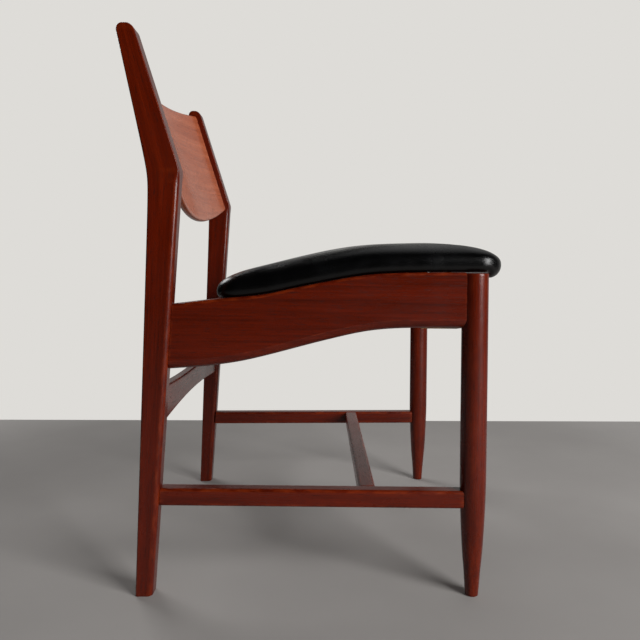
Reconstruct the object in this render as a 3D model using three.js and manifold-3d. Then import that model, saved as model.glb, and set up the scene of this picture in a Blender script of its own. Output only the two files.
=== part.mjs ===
// A wooden dining chair of the 1960s with a black leather seat pad, built from its separate pieces.
// Millimetres, +Z up. The chair faces -Y, the sitter's right is -X, and the origin is on the floor,
// under the middle of the whole chair.
import * as THREE from "three";
import { mergeVertices } from "three/addons/utils/BufferGeometryUtils.js";
import Module from "manifold-3d";

const wasm = await Module();
wasm.setup();

// ---------------------------------------------------------------- driving dimensions

const HEIGHT = 770; // floor to the tops of the rear posts
const GAP = 0.3; // clearance between pieces that touch
const MIDDLE_Y = 12; // the whole chair's middle, front to back, before it is centred on the origin
const SIDES = [["right", -1], ["left", 1]]; // the sitter's own right and left, and the sign of their X

// Rear posts: one piece each, bent at a knee above the seat.
const POST_OUTER = 246; // middle of the chair to a post's outer face
const POST_WIDTH = 27; // across the chair
const POST_INNER = POST_OUTER - POST_WIDTH;
const KNEE_Z = 575; // height of the bend in the front face
const KNEE_Y = 177; // and how far back it is
const FRONT_RAKE = 0.322; // backward run for each millimetre of rise, above the knee
const FRONT_SPLAY = 0.0643; // backward run for each millimetre of drop, below it
const BACK_KNEE_Z = 567;
const BACK_KNEE_Y = 218.6;
const BACK_RAKE = 0.222;
const BACK_SPLAY = 0.032;
const CREST = { radius: 11, inset: 10.1, ease: 2 }; // the rounded post top, front to back and across
const POST_ROUND_LOW = 6.5; // front corners below the knee
const POST_ROUND_HIGH = 1.6; // and above it

// Front legs: round, turned, tapered to the foot.
const LEG_X = 239;
const LEG_Y = -221.5;
const LEG_TOP = 440.6;
const LEG_RADIUS = [
  [0, 8.9], [29, 10.9], [48, 12.6], [67, 14.1], [105, 16.1], [159, 17.65], [HEIGHT, 17.65],
];
const FOOT_ROUND = 1.4;

// Side rails and side stretchers lie in one plane each side, which opens a little towards the front.
const SIDE_BACK = { x: 228.5, y: 191.5 }; // middle of the rail where it meets the post
const RAIL_THICK = 24;
const RAIL_TOP = [
  [-230, 442], [-130, 441], [-70, 437], [10, 422.4], [70, 409.8], [130, 404], [190, 396.8],
];
const RAIL_BOTTOM = [
  [-230, 367], [-125, 365.8], [-75, 361.3], [-20, 349], [85, 321.5], [140, 312.5], [195, 308],
];
const RAIL_BEVEL = { wide: 10, tall: 11.5, curve: [[0.22, 0.5], [0.55, 0.18]] }; // lower outer edge
const RAIL_ROUND = 4; // upper outer edge

const STRETCHER = { thick: 22, bottom: 121.5, top: 145.5, round: 4 };
const CROSS = { y: -78, wide: 23, bottom: 123, top: 145, round: 4 };
const TENON_RADIUS = 6;
const TENON_LENGTH = 16;

// Rails across the chair.
const FRONT_RAIL = { y: -219, thick: 20, bottom: 376, top: 437 };
const SEAT_RAIL = { y: 129, thick: 20, bottom: 342, top: 402.6 };
const REAR_RAIL = { y: 214, thick: 18, endBottom: 228, endTop: 281, rise: 10, dip: 8, round: 5 };

// Backrest panel: hollow to the sitter, between the posts, behind their front faces.
const PANEL = {
  thick: 11,
  setback: 10, // from the posts' front faces to the panel's, at its ends
  endLow: -6, // along the posts' front faces, measured up from the knee
  endHigh: 197,
  sagLow: 24, // how far the middle lies behind the ends, at the lower edge
  sagHigh: 34, // and at the upper edge
  bellyLow: 31, // how much lower the middle of the lower edge is than its ends
  dipHigh: 10, // and the same for the upper edge
};

// Seat pad, drawn from the top of the side rails upwards.
const PAD = {
  front: -262, // foremost point of the leather
  back: 133, // rearmost point
  halfFront: 250, // half the width at the front
  halfBack: 241, // and at the back
  corner: 34, // corner radius in plan
  belt: 10, // height of the widest line over the rails
  round: 20, // how far in from the edge the rounded shoulder runs
  shoulderFront: 8, // its height over the belt at the front
  shoulderBack: 14, // and at the back
  crown: 43.5, // height of the middle over the rails
  reachFront: 150, // how far in from the edge the crown keeps rising, at the front
  reachBack: 110, // and at the back
  tuck: 6, // how far the leather turns in below the belt
  nose: 8, // how far the overhanging front edge hangs below the rails
  noseFrom: [239, 245], // and how far forward of the middle it starts to, and does in full
};
const LEATHER = 1.4;
const BOARD = { thick: 9, inset: 7 };
const HEM = 26; // width of the leather turned under the board
const DUST_CLOTH = 0.8;

// A corner block's plan, and its screws: how far out from the corner each starts, how far along it
// lies, and how far over or under the block's middle.
const CORNER_BLOCK = { leg: 58, cut: 10, blunt: 6, start: 34, along: 24, raise: 9, seatScrew: 17 };
const FRONT_BLOCK = { bottom: 364, top: 436 };
const BACK_BLOCK = { bottom: 346, top: 398 };
const SEAT_SCREW = { shank: 2.5, head: 5, headHigh: 3, bite: 6, recess: 24 };
const BLOCK_SCREW = { shank: 2, head: 4, headHigh: 2.5, length: 44 };
const SCREW_POINT = { long: 4, radius: 0.6 };

// Dowels: heights of each pair, and where each runs from and to, front to back or across the chair.
const DOWEL_RADIUS = 4;
const SIDE_RAIL_DOWELS = {
  rear: { heights: [340, 372], from: 166, to: 211 },
  front: { heights: [380, 416], from: -178, to: -226 },
};
const CROSS_RAIL_DOWELS = {
  front_rail: { y: LEG_Y, heights: [398, 430], from: 194, to: 242 },
  rear_rail: { y: REAR_RAIL.y, heights: [245, 269], from: 194, to: 238 },
  seat_rail: { y: SEAT_RAIL.y, heights: [358, 386], from: 190, to: 232 },
};
const PANEL_DOWELS = { radius: 3, ups: [35, 150], from: 203, reach: 1.8 };

const CLEAR = 30; // how far a cutting solid runs past the piece that it cuts
const ARC_MIDDLE = 0.3; // how far a rounded corner's middle lies inside the square one, in radii

// ---------------------------------------------------------------- materials

const finish = (color, roughness, metalness = 0) =>
  new THREE.MeshStandardMaterial({ color, roughness, metalness });
const WOOD = finish(0x6b2412, 0.32);
const PANEL_WOOD = finish(0x8f4630, 0.34);
const HIDDEN_WOOD = finish(0xb98d5e, 0.7);
const PLYWOOD = finish(0xc39a68, 0.75);
const BEECH = finish(0xcfa878, 0.65);
const LEATHER_BLACK = finish(0x0b0b0d, 0.38);
const FOAM_CREAM = finish(0xd8c690, 0.95);
const CLOTH_BLACK = finish(0x1b1b1d, 0.95);
const STEEL = finish(0xb9b4a6, 0.35, 1);

// ---------------------------------------------------------------- helpers

// A smooth curve through [place, value] pairs, as a function of the place.
function through(points) {
  const slope = points.map((p, i) => {
    const a = points[Math.max(i - 1, 0)];
    const b = points[Math.min(i + 1, points.length - 1)];
    return (b[1] - a[1]) / (b[0] - a[0]);
  });
  return (place) => {
    let i = points.findIndex((p) => p[0] > place) - 1;
    if (place >= points.at(-1)[0]) i = points.length - 2;
    i = Math.max(i, 0);
    const [p, q] = [points[i], points[i + 1]];
    const span = q[0] - p[0];
    const t = THREE.MathUtils.clamp((place - p[0]) / span, 0, 1);
    const rise = q[1] - p[1];
    const bendIn = (slope[i] * span - rise) * t * (1 - t) * (1 - t);
    const bendOut = (slope[i + 1] * span - rise) * t * t * (t - 1);
    return p[1] + rise * t + bendIn + bendOut;
  };
}

// The larger of two values, with the corner where they cross eased by `ease`.
const eased = (a, b, ease) => (a + b) / 2 + Math.hypot((a - b) / 2, ease);

// 0 to 1 along a quarter circle.
const quarter = (t) => Math.sqrt(1 - (1 - Math.min(Math.max(t, 0), 1)) ** 2);

const range = (n, from = 0, to = 1) => Array.from({ length: n + 1 }, (_, i) => from + ((to - from) * i) / n);

// A closed skin over a row of rings with equal numbers of points. The end rings are capped by fans,
// unless they have already shrunk to a line.
function skin(rings, capped = true) {
  const size = rings[0].length;
  const points = rings.flat();
  const index = [];
  for (let r = 0; r + 1 < rings.length; r++) {
    for (let i = 0; i < size; i++) {
      const a = r * size + i;
      const b = r * size + ((i + 1) % size);
      index.push(a, b, b + size, a, b + size, a + size);
    }
  }
  if (capped) {
    for (const [ring, first] of [[rings[0], 0], [rings.at(-1), (rings.length - 1) * size]]) {
      const middle = ring.reduce((sum, p) => sum.add(p), new THREE.Vector3()).divideScalar(size);
      const hub = points.push(middle) - 1;
      for (let i = 0; i < size; i++) {
        const [a, b] = [first + i, first + ((i + 1) % size)];
        index.push(...(first === 0 ? [hub, b, a] : [hub, a, b]));
      }
    }
  }
  const geometry = new THREE.BufferGeometry().setFromPoints(points).setIndex(index);
  return facingOut(tidy(geometry));
}

// Shared corners merged, and triangles without area left out.
function tidy(geometry) {
  geometry.deleteAttribute("normal");
  geometry.deleteAttribute("uv");
  const merged = mergeVertices(geometry, 1e-3);
  const kept = [];
  for (let i = 0; i < merged.index.count; i += 3) {
    const [a, b, c] = merged.index.array.slice(i, i + 3);
    if (a !== b && b !== c && c !== a) kept.push(a, b, c);
  }
  return merged.setIndex(kept);
}

function facingOut(geometry) {
  const at = (i) => new THREE.Vector3().fromBufferAttribute(geometry.attributes.position, i);
  const index = geometry.index.array;
  let volume = 0;
  for (let i = 0; i < index.length; i += 3) {
    volume += at(index[i]).dot(at(index[i + 1]).cross(at(index[i + 2])));
  }
  if (volume < 0) geometry.setIndex(Array.from(index).reverse());
  return geometry;
}

function solidOf(geometry) {
  const g = tidy(geometry.clone());
  return new wasm.Manifold(
    new wasm.Mesh({
      numProp: 3,
      vertProperties: new Float32Array(g.attributes.position.array),
      triVerts: new Uint32Array(g.index.array),
    }),
  );
}

function geometryOf(solid) {
  const mesh = solid.getMesh();
  const geometry = new THREE.BufferGeometry();
  geometry.setAttribute("position", new THREE.BufferAttribute(mesh.vertProperties, 3));
  return geometry.setIndex(new THREE.BufferAttribute(mesh.triVerts, 1));
}

const cut = (body, ...tools) =>
  geometryOf(tools.reduce((solid, tool) => solid.subtract(solidOf(tool)), solidOf(body)));
const join = (body, ...parts) =>
  geometryOf(parts.reduce((solid, part) => solid.add(solidOf(part)), solidOf(body)));

// A turned shape with its axis from one point towards another. The profile holds [distance, radius].
function turned(from, to, profile, sides) {
  const axis = to.clone().sub(from).normalize();
  const outline = profile.map(([along, radius]) => new THREE.Vector2(radius, along));
  const geometry = new THREE.LatheGeometry(outline, sides);
  geometry.applyQuaternion(new THREE.Quaternion().setFromUnitVectors(new THREE.Vector3(0, 1, 0), axis));
  return facingOut(tidy(geometry.translate(from.x, from.y, from.z)));
}

function rod(from, to, radius, sides = 10) {
  const length = from.distanceTo(to);
  return turned(from, to, [[0, 0], [0, radius], [length, radius], [length, 0]], sides);
}

// The hole for a rod: a little wider, and a little longer at both ends.
function bore(from, to, radius, sides = 10) {
  const extra = to.clone().sub(from).setLength(1);
  return rod(from.clone().sub(extra), to.clone().add(extra), radius + GAP, sides);
}

const point = (x, y, z) => new THREE.Vector3(x, y, z);

const chair = new THREE.Group();

function add(name, geometry, material) {
  const mesh = new THREE.Mesh(geometry, material);
  mesh.name = name;
  chair.add(mesh);
}

// ---------------------------------------------------------------- lines that several pieces share

const postFront = (z) =>
  eased(KNEE_Y + (KNEE_Z - z) * FRONT_SPLAY, KNEE_Y + (z - KNEE_Z) * FRONT_RAKE, 0.6);
const postBack = (z) =>
  eased(BACK_KNEE_Y + (BACK_KNEE_Z - z) * BACK_SPLAY, BACK_KNEE_Y + (z - BACK_KNEE_Z) * BACK_RAKE, 2.2);
const railTop = through(RAIL_TOP);
const railBottom = through(RAIL_BOTTOM);
const legRadius = through(LEG_RADIUS);

// Middle of a side rail or side stretcher, across the chair, at a given Y.
const sideX = (y) =>
  SIDE_BACK.x + ((LEG_X - SIDE_BACK.x) * (SIDE_BACK.y - y)) / (SIDE_BACK.y - LEG_Y);
const onSide = (sign, y, z) => point(sign * sideX(y), y, z);

// ---------------------------------------------------------------- dowels

const dowels = [];

function dowel(name, from, to, radius = DOWEL_RADIUS) {
  dowels.push({ name, from, to, radius });
  return bore(from, to, radius);
}

const holes = {};
for (const [side, sign] of SIDES) {
  for (const [end, { heights, from, to }] of Object.entries(SIDE_RAIL_DOWELS)) {
    const joint = `side_rail_${side}_${end}`;
    holes[joint] = heights.map((z, i) =>
      dowel(`${joint}_dowel_${i + 1}`, onSide(sign, from, z), onSide(sign, to, z)));
  }
  for (const [rail, { y, heights, from, to }] of Object.entries(CROSS_RAIL_DOWELS)) {
    const joint = `${rail}_${side}`;
    holes[joint] = heights.map((z, i) =>
      dowel(`${joint}_dowel_${i + 1}`, point(sign * from, y, z), point(sign * to, y, z)));
  }
}

// ---------------------------------------------------------------- backrest panel

// Up the posts' front faces above the knee, and straight out of them towards the sitter.
const rakeLength = Math.hypot(1, FRONT_RAKE);
const UP_POST = point(0, FRONT_RAKE / rakeLength, 1 / rakeLength);
const OUT_OF_POST = point(0, -1 / rakeLength, FRONT_RAKE / rakeLength);
const KNEE = point(0, KNEE_Y, KNEE_Z);

const panelLow = (x) => PANEL.endLow - PANEL.bellyLow * (1 - (x / POST_INNER) ** 2);
const panelHigh = (x) => PANEL.endHigh - PANEL.dipHigh * (1 - (x / POST_INNER) ** 2);

// A point of the panel, `up` along the posts from the knee and `deep` behind its front surface.
function onPanel(x, up, deep) {
  const share = (up - PANEL.endLow) / (PANEL.endHigh - PANEL.endLow);
  const sag = PANEL.sagLow + (PANEL.sagHigh - PANEL.sagLow) * share;
  const back = PANEL.setback + sag * (1 - (x / POST_INNER) ** 2) + deep;
  return KNEE.clone().addScaledVector(UP_POST, up).addScaledVector(OUT_OF_POST, -back).setX(x);
}

for (const [side, sign] of SIDES) {
  const { radius, ups, from, reach } = PANEL_DOWELS;
  holes[`backrest_${side}`] = ups.map((up, i) => {
    const inside = onPanel(sign * from, up, PANEL.thick / 2);
    const end = onPanel(sign * POST_INNER, up, PANEL.thick / 2);
    const outside = inside.clone().addScaledVector(end.clone().sub(inside), reach);
    return dowel(`backrest_${side}_dowel_${i + 1}`, inside, outside, radius);
  });
}

const panelEdge = [[0, 3.5], [1.2, 1.1], [3.5, 0]]; // [depth, distance in from the edge], a rounded arris
const panelRings = range(16, -POST_INNER + GAP, POST_INNER - GAP).map((x) => {
  const [low, high] = [panelLow(x), panelHigh(x)];
  const middle = (low + high) / 2;
  const lower = panelEdge.map(([deep, rise]) => onPanel(x, low + rise, deep));
  const upper = panelEdge.map(([deep, rise]) => onPanel(x, high - rise, deep));
  const lowerBack = panelEdge.map(([deep, rise]) => onPanel(x, low + rise, PANEL.thick - deep));
  const upperBack = panelEdge.map(([deep, rise]) => onPanel(x, high - rise, PANEL.thick - deep));
  return [
    ...lower,
    ...lowerBack.reverse(),
    onPanel(x, middle, PANEL.thick),
    ...upperBack,
    ...upper.reverse(),
    onPanel(x, middle, 0),
  ];
});
add("backrest_panel", cut(skin(panelRings), ...holes.backrest_right, ...holes.backrest_left), PANEL_WOOD);

// ---------------------------------------------------------------- rear posts

// One level slice of a post: round front corners, eased back ones.
function postSlice(sign, z, inset) {
  const front = postFront(z) + inset.y;
  const back = postBack(z) - inset.y;
  const low = POST_OUTER - POST_WIDTH + inset.x;
  const high = POST_OUTER - inset.x;
  const share = THREE.MathUtils.smoothstep(z, KNEE_Z - 16, KNEE_Z + 4);
  const round = Math.min(THREE.MathUtils.lerp(POST_ROUND_LOW, POST_ROUND_HIGH, share), (back - front) / 3);
  const ease = Math.min(2.5, (back - front) / 3);
  const arc = range(3, 0, Math.PI / 2).map((a) => [round * (1 - Math.cos(a)), round * (1 - Math.sin(a))]);
  const outer = arc.map(([across, back]) => point(high - across, front + back, z));
  const inner = arc.map(([across, back]) => point(low + back, front + across, z));
  const behind = [point(low, back - ease, z), point(low + ease, back, z),
    point(high - ease, back, z), point(high, back - ease, z)];
  return [...outer, ...inner, ...behind].map((p) => p.setX(sign * p.x));
}

function postStations() {
  const top = HEIGHT - CREST.radius;
  const heights = [FOOT_ROUND, 110, 250, 400, 500, 540, 556, 566, 573, 578, 584, 594, 610, 640, 700, top];
  const still = heights.map((z) => ({ z, x: 0, y: 0 }));
  const crest = range(5, 0.2, 1).map((t) => {
    const a = (t * Math.PI) / 2;
    const sideEase = CREST.ease * Math.max(0, (t - 0.6) / 0.4); // only over the last of the curve
    return { z: top + CREST.radius * Math.sin(a), x: sideEase, y: CREST.inset * (1 - Math.cos(a)) };
  });
  return [{ z: 0, x: FOOT_ROUND, y: FOOT_ROUND }, ...still, ...crest];
}

const stretcherMid = (STRETCHER.bottom + STRETCHER.top) / 2;

// The round tenons at the ends of a side stretcher, from inside the stretcher to their tips.
function stretcherTenons(sign) {
  const post = postFront(stretcherMid);
  const leg = LEG_Y + legRadius(stretcherMid);
  return [
    [onSide(sign, post - 20, stretcherMid), onSide(sign, post + TENON_LENGTH, stretcherMid)],
    [onSide(sign, leg + 20, stretcherMid), onSide(sign, leg - TENON_LENGTH, stretcherMid)],
  ];
}

for (const [side, sign] of SIDES) {
  const body = skin(postStations().map(({ z, x, y }) => postSlice(sign, z, { x, y })));
  const [rearTenon] = stretcherTenons(sign);
  const joints = [`side_rail_${side}_rear`, `rear_rail_${side}`, `backrest_${side}`];
  const dowelHoles = joints.flatMap((joint) => holes[joint]);
  add(`rear_post_${side}`, cut(body, ...dowelHoles, bore(...rearTenon, TENON_RADIUS)), WOOD);
}

// ---------------------------------------------------------------- front legs

function legProfile(extra = 0) {
  const foot = legRadius(0);
  const heights = [FOOT_ROUND, 14, 29, 48, 67, 85, 105, 130, 159, LEG_TOP - 1];
  return [
    [0, 0],
    [0, foot - FOOT_ROUND + extra],
    ...heights.map((z) => [z, legRadius(z) + extra]),
    [LEG_TOP, legRadius(LEG_TOP) - 1 + extra],
    [LEG_TOP, 0],
  ];
}

for (const [side, sign] of SIDES) {
  const foot = point(sign * LEG_X, LEG_Y, 0);
  const body = turned(foot, point(sign * LEG_X, LEG_Y, LEG_TOP), legProfile(), 28);
  const frontTenon = stretcherTenons(sign)[1];
  const dowelHoles = [...holes[`side_rail_${side}_front`], ...holes[`front_rail_${side}`]];
  add(`front_leg_${side}`, cut(body, ...dowelHoles, bore(...frontTenon, TENON_RADIUS)), WOOD);
}

// The room a leg takes up, with its clearance, for pieces that are scribed onto it.
const legRoom = (sign) =>
  rod(point(sign * LEG_X, LEG_Y, 100), point(sign * LEG_X, LEG_Y, 500), legRadius(HEIGHT) + GAP, 28);

// ---------------------------------------------------------------- side rails

// One upright slice of a side rail: rounded above, bevelled below, both on the outside.
function railSlice(sign, y, top, bottom, depth) {
  const half = RAIL_THICK / 2;
  const { wide, tall, curve } = RAIL_BEVEL;
  const bevel = curve.map(([inward, up]) => [half - wide * inward, bottom + tall * up]);
  const outline = [
    [-half, top - 1],
    [-half + 1, top],
    [half - RAIL_ROUND, top],
    [half - RAIL_ROUND * ARC_MIDDLE, top - RAIL_ROUND * ARC_MIDDLE],
    [half, top - RAIL_ROUND],
    [half, bottom + tall],
    ...bevel,
    [half - wide, bottom],
    [-half + 2, bottom],
    [-half, bottom + 2],
  ];
  return outline.map(([across, z]) => point(sign * (sideX(y) + across), y + depth(z), z));
}

const blockScrews = [];
const seatScrews = [];

// A corner block: a triangle in plan, cut short at its inner tip, with its two screws and the seat's.
function cornerBlock(name, sign, corner, toFront, { bottom, top }) {
  const { leg, cut: tip, blunt, start, along: line, raise, seatScrew } = CORNER_BLOCK;
  const plan = [[tip, 0], [leg, 0], [leg, blunt], [blunt, leg], [0, leg], [0, tip]];
  const place = ([across, along], z) =>
    point(sign * (corner.x - across - (corner.lean * along)), corner.y + toFront * along, z);
  const body = skin([bottom, top].map((z) => plan.map((p) => place(p, z))));
  const tools = [];
  const middle = (bottom + top) / 2;
  // One screw runs into the side rail and one into the cross rail, each square to the long face.
  const runs = [
    { kind: "side", from: place([start, line], middle + raise), toward: place([0, line], middle + raise) },
    { kind: "cross", from: place([line, start], middle - raise), toward: place([line, 0], middle - raise) },
  ];
  for (const { kind, from, toward } of runs) {
    const way = toward.clone().sub(from).normalize();
    const to = from.clone().addScaledVector(way, BLOCK_SCREW.length);
    blockScrews.push({ name: `${name}_${kind}_screw`, from, to });
    const mouth = from.clone().addScaledVector(way, -CLEAR);
    tools.push(bore(mouth, from.clone().addScaledVector(way, BLOCK_SCREW.headHigh), BLOCK_SCREW.head));
    tools.push(bore(from, to, BLOCK_SCREW.shank));
  }
  const seat = place([seatScrew, seatScrew], bottom);
  const seatTop = point(seat.x, seat.y, railTop(seat.y) + LEATHER + GAP + SEAT_SCREW.bite);
  const seatFrom = point(seat.x, seat.y, bottom + SEAT_SCREW.recess);
  seatScrews.push({ name: name.replace("corner_block", "seat_screw"), from: seatFrom, to: seatTop });
  const headTop = seatFrom.clone().setZ(seatFrom.z + SEAT_SCREW.headHigh);
  tools.push(bore(seat.clone().setZ(bottom - CLEAR), headTop, SEAT_SCREW.head));
  tools.push(bore(seatFrom, seatTop, SEAT_SCREW.shank));
  add(name, cut(body, ...tools), HIDDEN_WOOD);
}

const railInside = RAIL_THICK / 2 + GAP;
for (const [side, sign] of SIDES) {
  const lean = (y) => (sideX(y) - sideX(y + 1));
  const frontY = FRONT_RAIL.y + FRONT_RAIL.thick / 2 + GAP;
  const backY = SEAT_RAIL.y - SEAT_RAIL.thick / 2 - GAP;
  cornerBlock(`front_corner_block_${side}`, sign,
    { x: sideX(frontY) - railInside, y: frontY, lean: lean(frontY) }, 1, FRONT_BLOCK);
  cornerBlock(`back_corner_block_${side}`, sign,
    { x: sideX(backY) - railInside, y: backY, lean: -lean(backY) }, -1, BACK_BLOCK);
}

function screw(from, to, { shank, head, headHigh }) {
  const length = from.distanceTo(to);
  const { long, radius } = SCREW_POINT;
  const tip = [[length - long, shank], [length, radius], [length, 0]];
  const profile = [[0, 0], [0, head], [headHigh, shank], ...tip];
  return turned(from, to, profile, 10);
}

const screwHoles = blockScrews.map(({ from, to }) => bore(from, to, BLOCK_SCREW.shank));
for (const { name, from, to } of blockScrews) add(name, screw(from, to, BLOCK_SCREW), STEEL);
for (const { name, from, to } of seatScrews) add(name, screw(from, to, SEAT_SCREW), STEEL);

for (const [side, sign] of SIDES) {
  const stations = [...range(16, 174, -180), LEG_Y];
  const slices = stations.map((y) => railSlice(sign, y, railTop(y), railBottom(y), () => 0));
  // The rear end lies along the post's sloping front face.
  const back = SIDE_BACK.y;
  const shoulder = railSlice(sign, back, railTop(back), railBottom(back), (z) => postFront(z) - GAP - back);
  const body = skin([shoulder, ...slices]);
  const joints = [`side_rail_${side}_rear`, `side_rail_${side}_front`, `seat_rail_${side}`];
  const dowelHoles = joints.flatMap((joint) => holes[joint]);
  add(`side_rail_${side}`, cut(body, legRoom(sign), ...dowelHoles, ...screwHoles), WOOD);
}

// ---------------------------------------------------------------- rails across the chair

// A straight bar across the chair between -end and +end, with an upright outline [y, z] at each X.
const across = (stations, outline) =>
  skin(stations.map((x) => outline(x).map(([y, z]) => point(x, y, z))));

// A rectangle with its four corners eased.
function easedBox(y, thick, bottom, top, ease) {
  const [near, far] = [y - thick / 2, y + thick / 2];
  const mid = ease * ARC_MIDDLE;
  return [
    [near, bottom + ease], [near + mid, bottom + mid], [near + ease, bottom],
    [far - ease, bottom], [far - mid, bottom + mid], [far, bottom + ease],
    [far, top - ease], [far - mid, top - mid], [far - ease, top],
    [near + ease, top], [near + mid, top - mid], [near, top - ease],
  ];
}

const frontRailBody = across(range(4, -LEG_X, LEG_X), () =>
  easedBox(FRONT_RAIL.y, FRONT_RAIL.thick, FRONT_RAIL.bottom, FRONT_RAIL.top, 2));
const frontRailHoles = [...holes.front_rail_right, ...holes.front_rail_left, ...screwHoles];
add("front_rail", cut(frontRailBody, legRoom(-1), legRoom(1), ...frontRailHoles), WOOD);

const seatRailEnd = sideX(SEAT_RAIL.y + SEAT_RAIL.thick / 2) - railInside;
const seatRailBody = across([-seatRailEnd, seatRailEnd], () =>
  easedBox(SEAT_RAIL.y, SEAT_RAIL.thick, SEAT_RAIL.bottom, SEAT_RAIL.top, 2));
const seatRailHoles = [...holes.seat_rail_right, ...holes.seat_rail_left, ...screwHoles];
add("seat_rail", cut(seatRailBody, ...seatRailHoles), WOOD);

const rearRailEnd = POST_INNER - GAP;
const rearRailBody = across(range(12, -rearRailEnd, rearRailEnd), (x) => {
  const arch = 1 - (x / POST_INNER) ** 2;
  const { y, thick, endBottom, endTop, rise, dip, round } = REAR_RAIL;
  return easedBox(y, thick, endBottom + rise * arch, endTop - dip * arch, round);
});
add("rear_rail", cut(rearRailBody, ...holes.rear_rail_right, ...holes.rear_rail_left), WOOD);

// ---------------------------------------------------------------- stretchers

const crossEnd = sideX(CROSS.y + CROSS.wide / 2) - STRETCHER.thick / 2 - GAP;
const crossMid = (CROSS.bottom + CROSS.top) / 2;
const crossTenon = (sign) => [
  point(sign * (crossEnd - 20), CROSS.y, crossMid),
  point(sign * (crossEnd + TENON_LENGTH), CROSS.y, crossMid),
];

for (const [side, sign] of SIDES) {
  const { thick, bottom, top, round } = STRETCHER;
  const slice = (y, depth) =>
    easedBox(0, thick, bottom, top, round).map(([offset, z]) =>
      point(sign * (sideX(y) + offset), y + depth(z), z));
  const back = postFront(stretcherMid);
  const body = skin([slice(back, (z) => postFront(z) - GAP - back), slice(LEG_Y, () => 0)]);
  const [rearTenon, frontTenon] = stretcherTenons(sign);
  const scribed = cut(body, legRoom(sign));
  const whole = join(scribed, rod(...rearTenon, TENON_RADIUS), rod(...frontTenon, TENON_RADIUS));
  add(`side_stretcher_${side}`, cut(whole, bore(...crossTenon(sign), TENON_RADIUS)), WOOD);
}

const crossBody = across([-crossEnd, crossEnd], () =>
  easedBox(CROSS.y, CROSS.wide, CROSS.bottom, CROSS.top, CROSS.round));
add(
  "cross_stretcher",
  join(crossBody, rod(...crossTenon(-1), TENON_RADIUS), rod(...crossTenon(1), TENON_RADIUS)),
  WOOD,
);

// ---------------------------------------------------------------- seat

// Half the width of the pad at a given Y, with its corners rounded, drawn in by `inset`.
function padHalf(y, inset) {
  const share = (y - PAD.front) / (PAD.back - PAD.front);
  const straight = THREE.MathUtils.lerp(PAD.halfFront, PAD.halfBack, share) - inset;
  const toEnd = Math.min(y - (PAD.front + inset), PAD.back - inset - y);
  const round = Math.max(PAD.corner - inset, 5);
  return straight - round * (1 - quarter(toEnd / round));
}

// Height of the pad's top and underside over the rails, `inside` millimetres in from its edge.
function padTopAt(inside, y) {
  const share = THREE.MathUtils.smoothstep(y, PAD.front, PAD.back);
  const shoulder = THREE.MathUtils.lerp(PAD.shoulderFront, PAD.shoulderBack, share);
  const reach = THREE.MathUtils.lerp(PAD.reachFront, PAD.reachBack, share);
  const swell = 1 - (1 - Math.min(inside / reach, 1)) ** 2;
  return PAD.belt + shoulder * quarter(inside / PAD.round) + (PAD.crown - PAD.belt - shoulder) * swell;
}
const padUnderAt = (inside, y) => {
  const hang = PAD.nose * THREE.MathUtils.smoothstep(-y, ...PAD.noseFrom);
  return PAD.belt - (PAD.belt + hang) * quarter(inside / PAD.tuck);
};

// Places along the pad at which its sections are drawn: close together at the ends, then in even
// steps that every layer of the seat shares, so that the layers bend alike.
function padStations(inset, fromEnds) {
  const front = PAD.front + inset;
  const back = PAD.back - inset;
  const shared = range(12, PAD.front + 36, PAD.back - 36);
  return [...fromEnds.map((d) => front + d), ...shared, ...fromEnds.map((d) => back - d).reverse()]
    .sort((a, b) => a - b);
}

// The pad as a solid, drawn in by `inset` all round, from `floor` over its underside up to `roof`.
function padSolid(inset, floor, roof) {
  const front = PAD.front + inset;
  const back = PAD.back - inset;
  const stations = padStations(inset, [0, 1, 4, 9, 16, 23]);
  const inFromSides = [0, 1, 4, 9, 16, 50, 110];
  const rings = stations.map((y) => {
    const half = padHalf(y, inset);
    const toEnd = Math.min(y - front, back - y);
    const columns = [...inFromSides.map((d) => d - half), 0, ...inFromSides.map((d) => half - d).reverse()];
    const height = (x, at) => at(Math.min(half - Math.abs(x), toEnd) + inset, y) + railTop(y);
    const level = (x) => Math.min(half - Math.abs(x), toEnd) <= 0;
    const belt = PAD.belt + railTop(y);
    const over = columns.map((x) => point(x, y, level(x) ? belt : height(x, roof)));
    const under = columns.map((x) => point(x, y, level(x) ? belt : height(x, floor)));
    return [...over, ...under.reverse()];
  });
  return skin(rings, false);
}

const padWhole = padSolid(0, (d, y) => padUnderAt(d, y) + GAP, padTopAt);
const padHollow = padSolid(
  LEATHER,
  (d, y) => padUnderAt(d, y) + GAP + LEATHER,
  (d, y) => padTopAt(d, y) - LEATHER,
);

// A sheet that follows the rails' curve, `low` to `high` over it, drawn in by `inset`.
function curvedSheet(inset, low, high) {
  const stations = padStations(inset, [0, 2, 6, 14].filter((d) => d + inset < 36));
  return skin(stations.map((y) => {
    const half = padHalf(y, inset);
    const corners = [[-half, low], [half, low], [half, high], [-half, high]];
    return corners.map(([x, z]) => point(x, y, railTop(y) + z));
  }));
}

const boardLow = GAP + LEATHER + GAP;
const boardHigh = boardLow + BOARD.thick;
const hemOpening = curvedSheet(HEM, -CLEAR, boardHigh - 2);
const tight = LEATHER + 7 * GAP; // the foam stays clear of the leather all round
const underBoard = curvedSheet(BOARD.inset, -CLEAR, boardHigh + GAP);
const seatScrewHoles = seatScrews.map(({ from, to }) => bore(from, to, SEAT_SCREW.shank));

add("seat_cover", cut(padWhole, padHollow, hemOpening), LEATHER_BLACK);
const foamBody = padSolid(tight, (d) => padUnderAt(d, 0) + boardHigh, (d, y) => padTopAt(d, y) - tight);
add("seat_foam", cut(foamBody, underBoard), FOAM_CREAM);
add("seat_board", cut(curvedSheet(BOARD.inset, boardLow, boardHigh), ...seatScrewHoles), PLYWOOD);
add("dust_cloth", cut(curvedSheet(HEM + 2, GAP, GAP + DUST_CLOTH), ...seatScrewHoles), CLOTH_BLACK);

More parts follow.
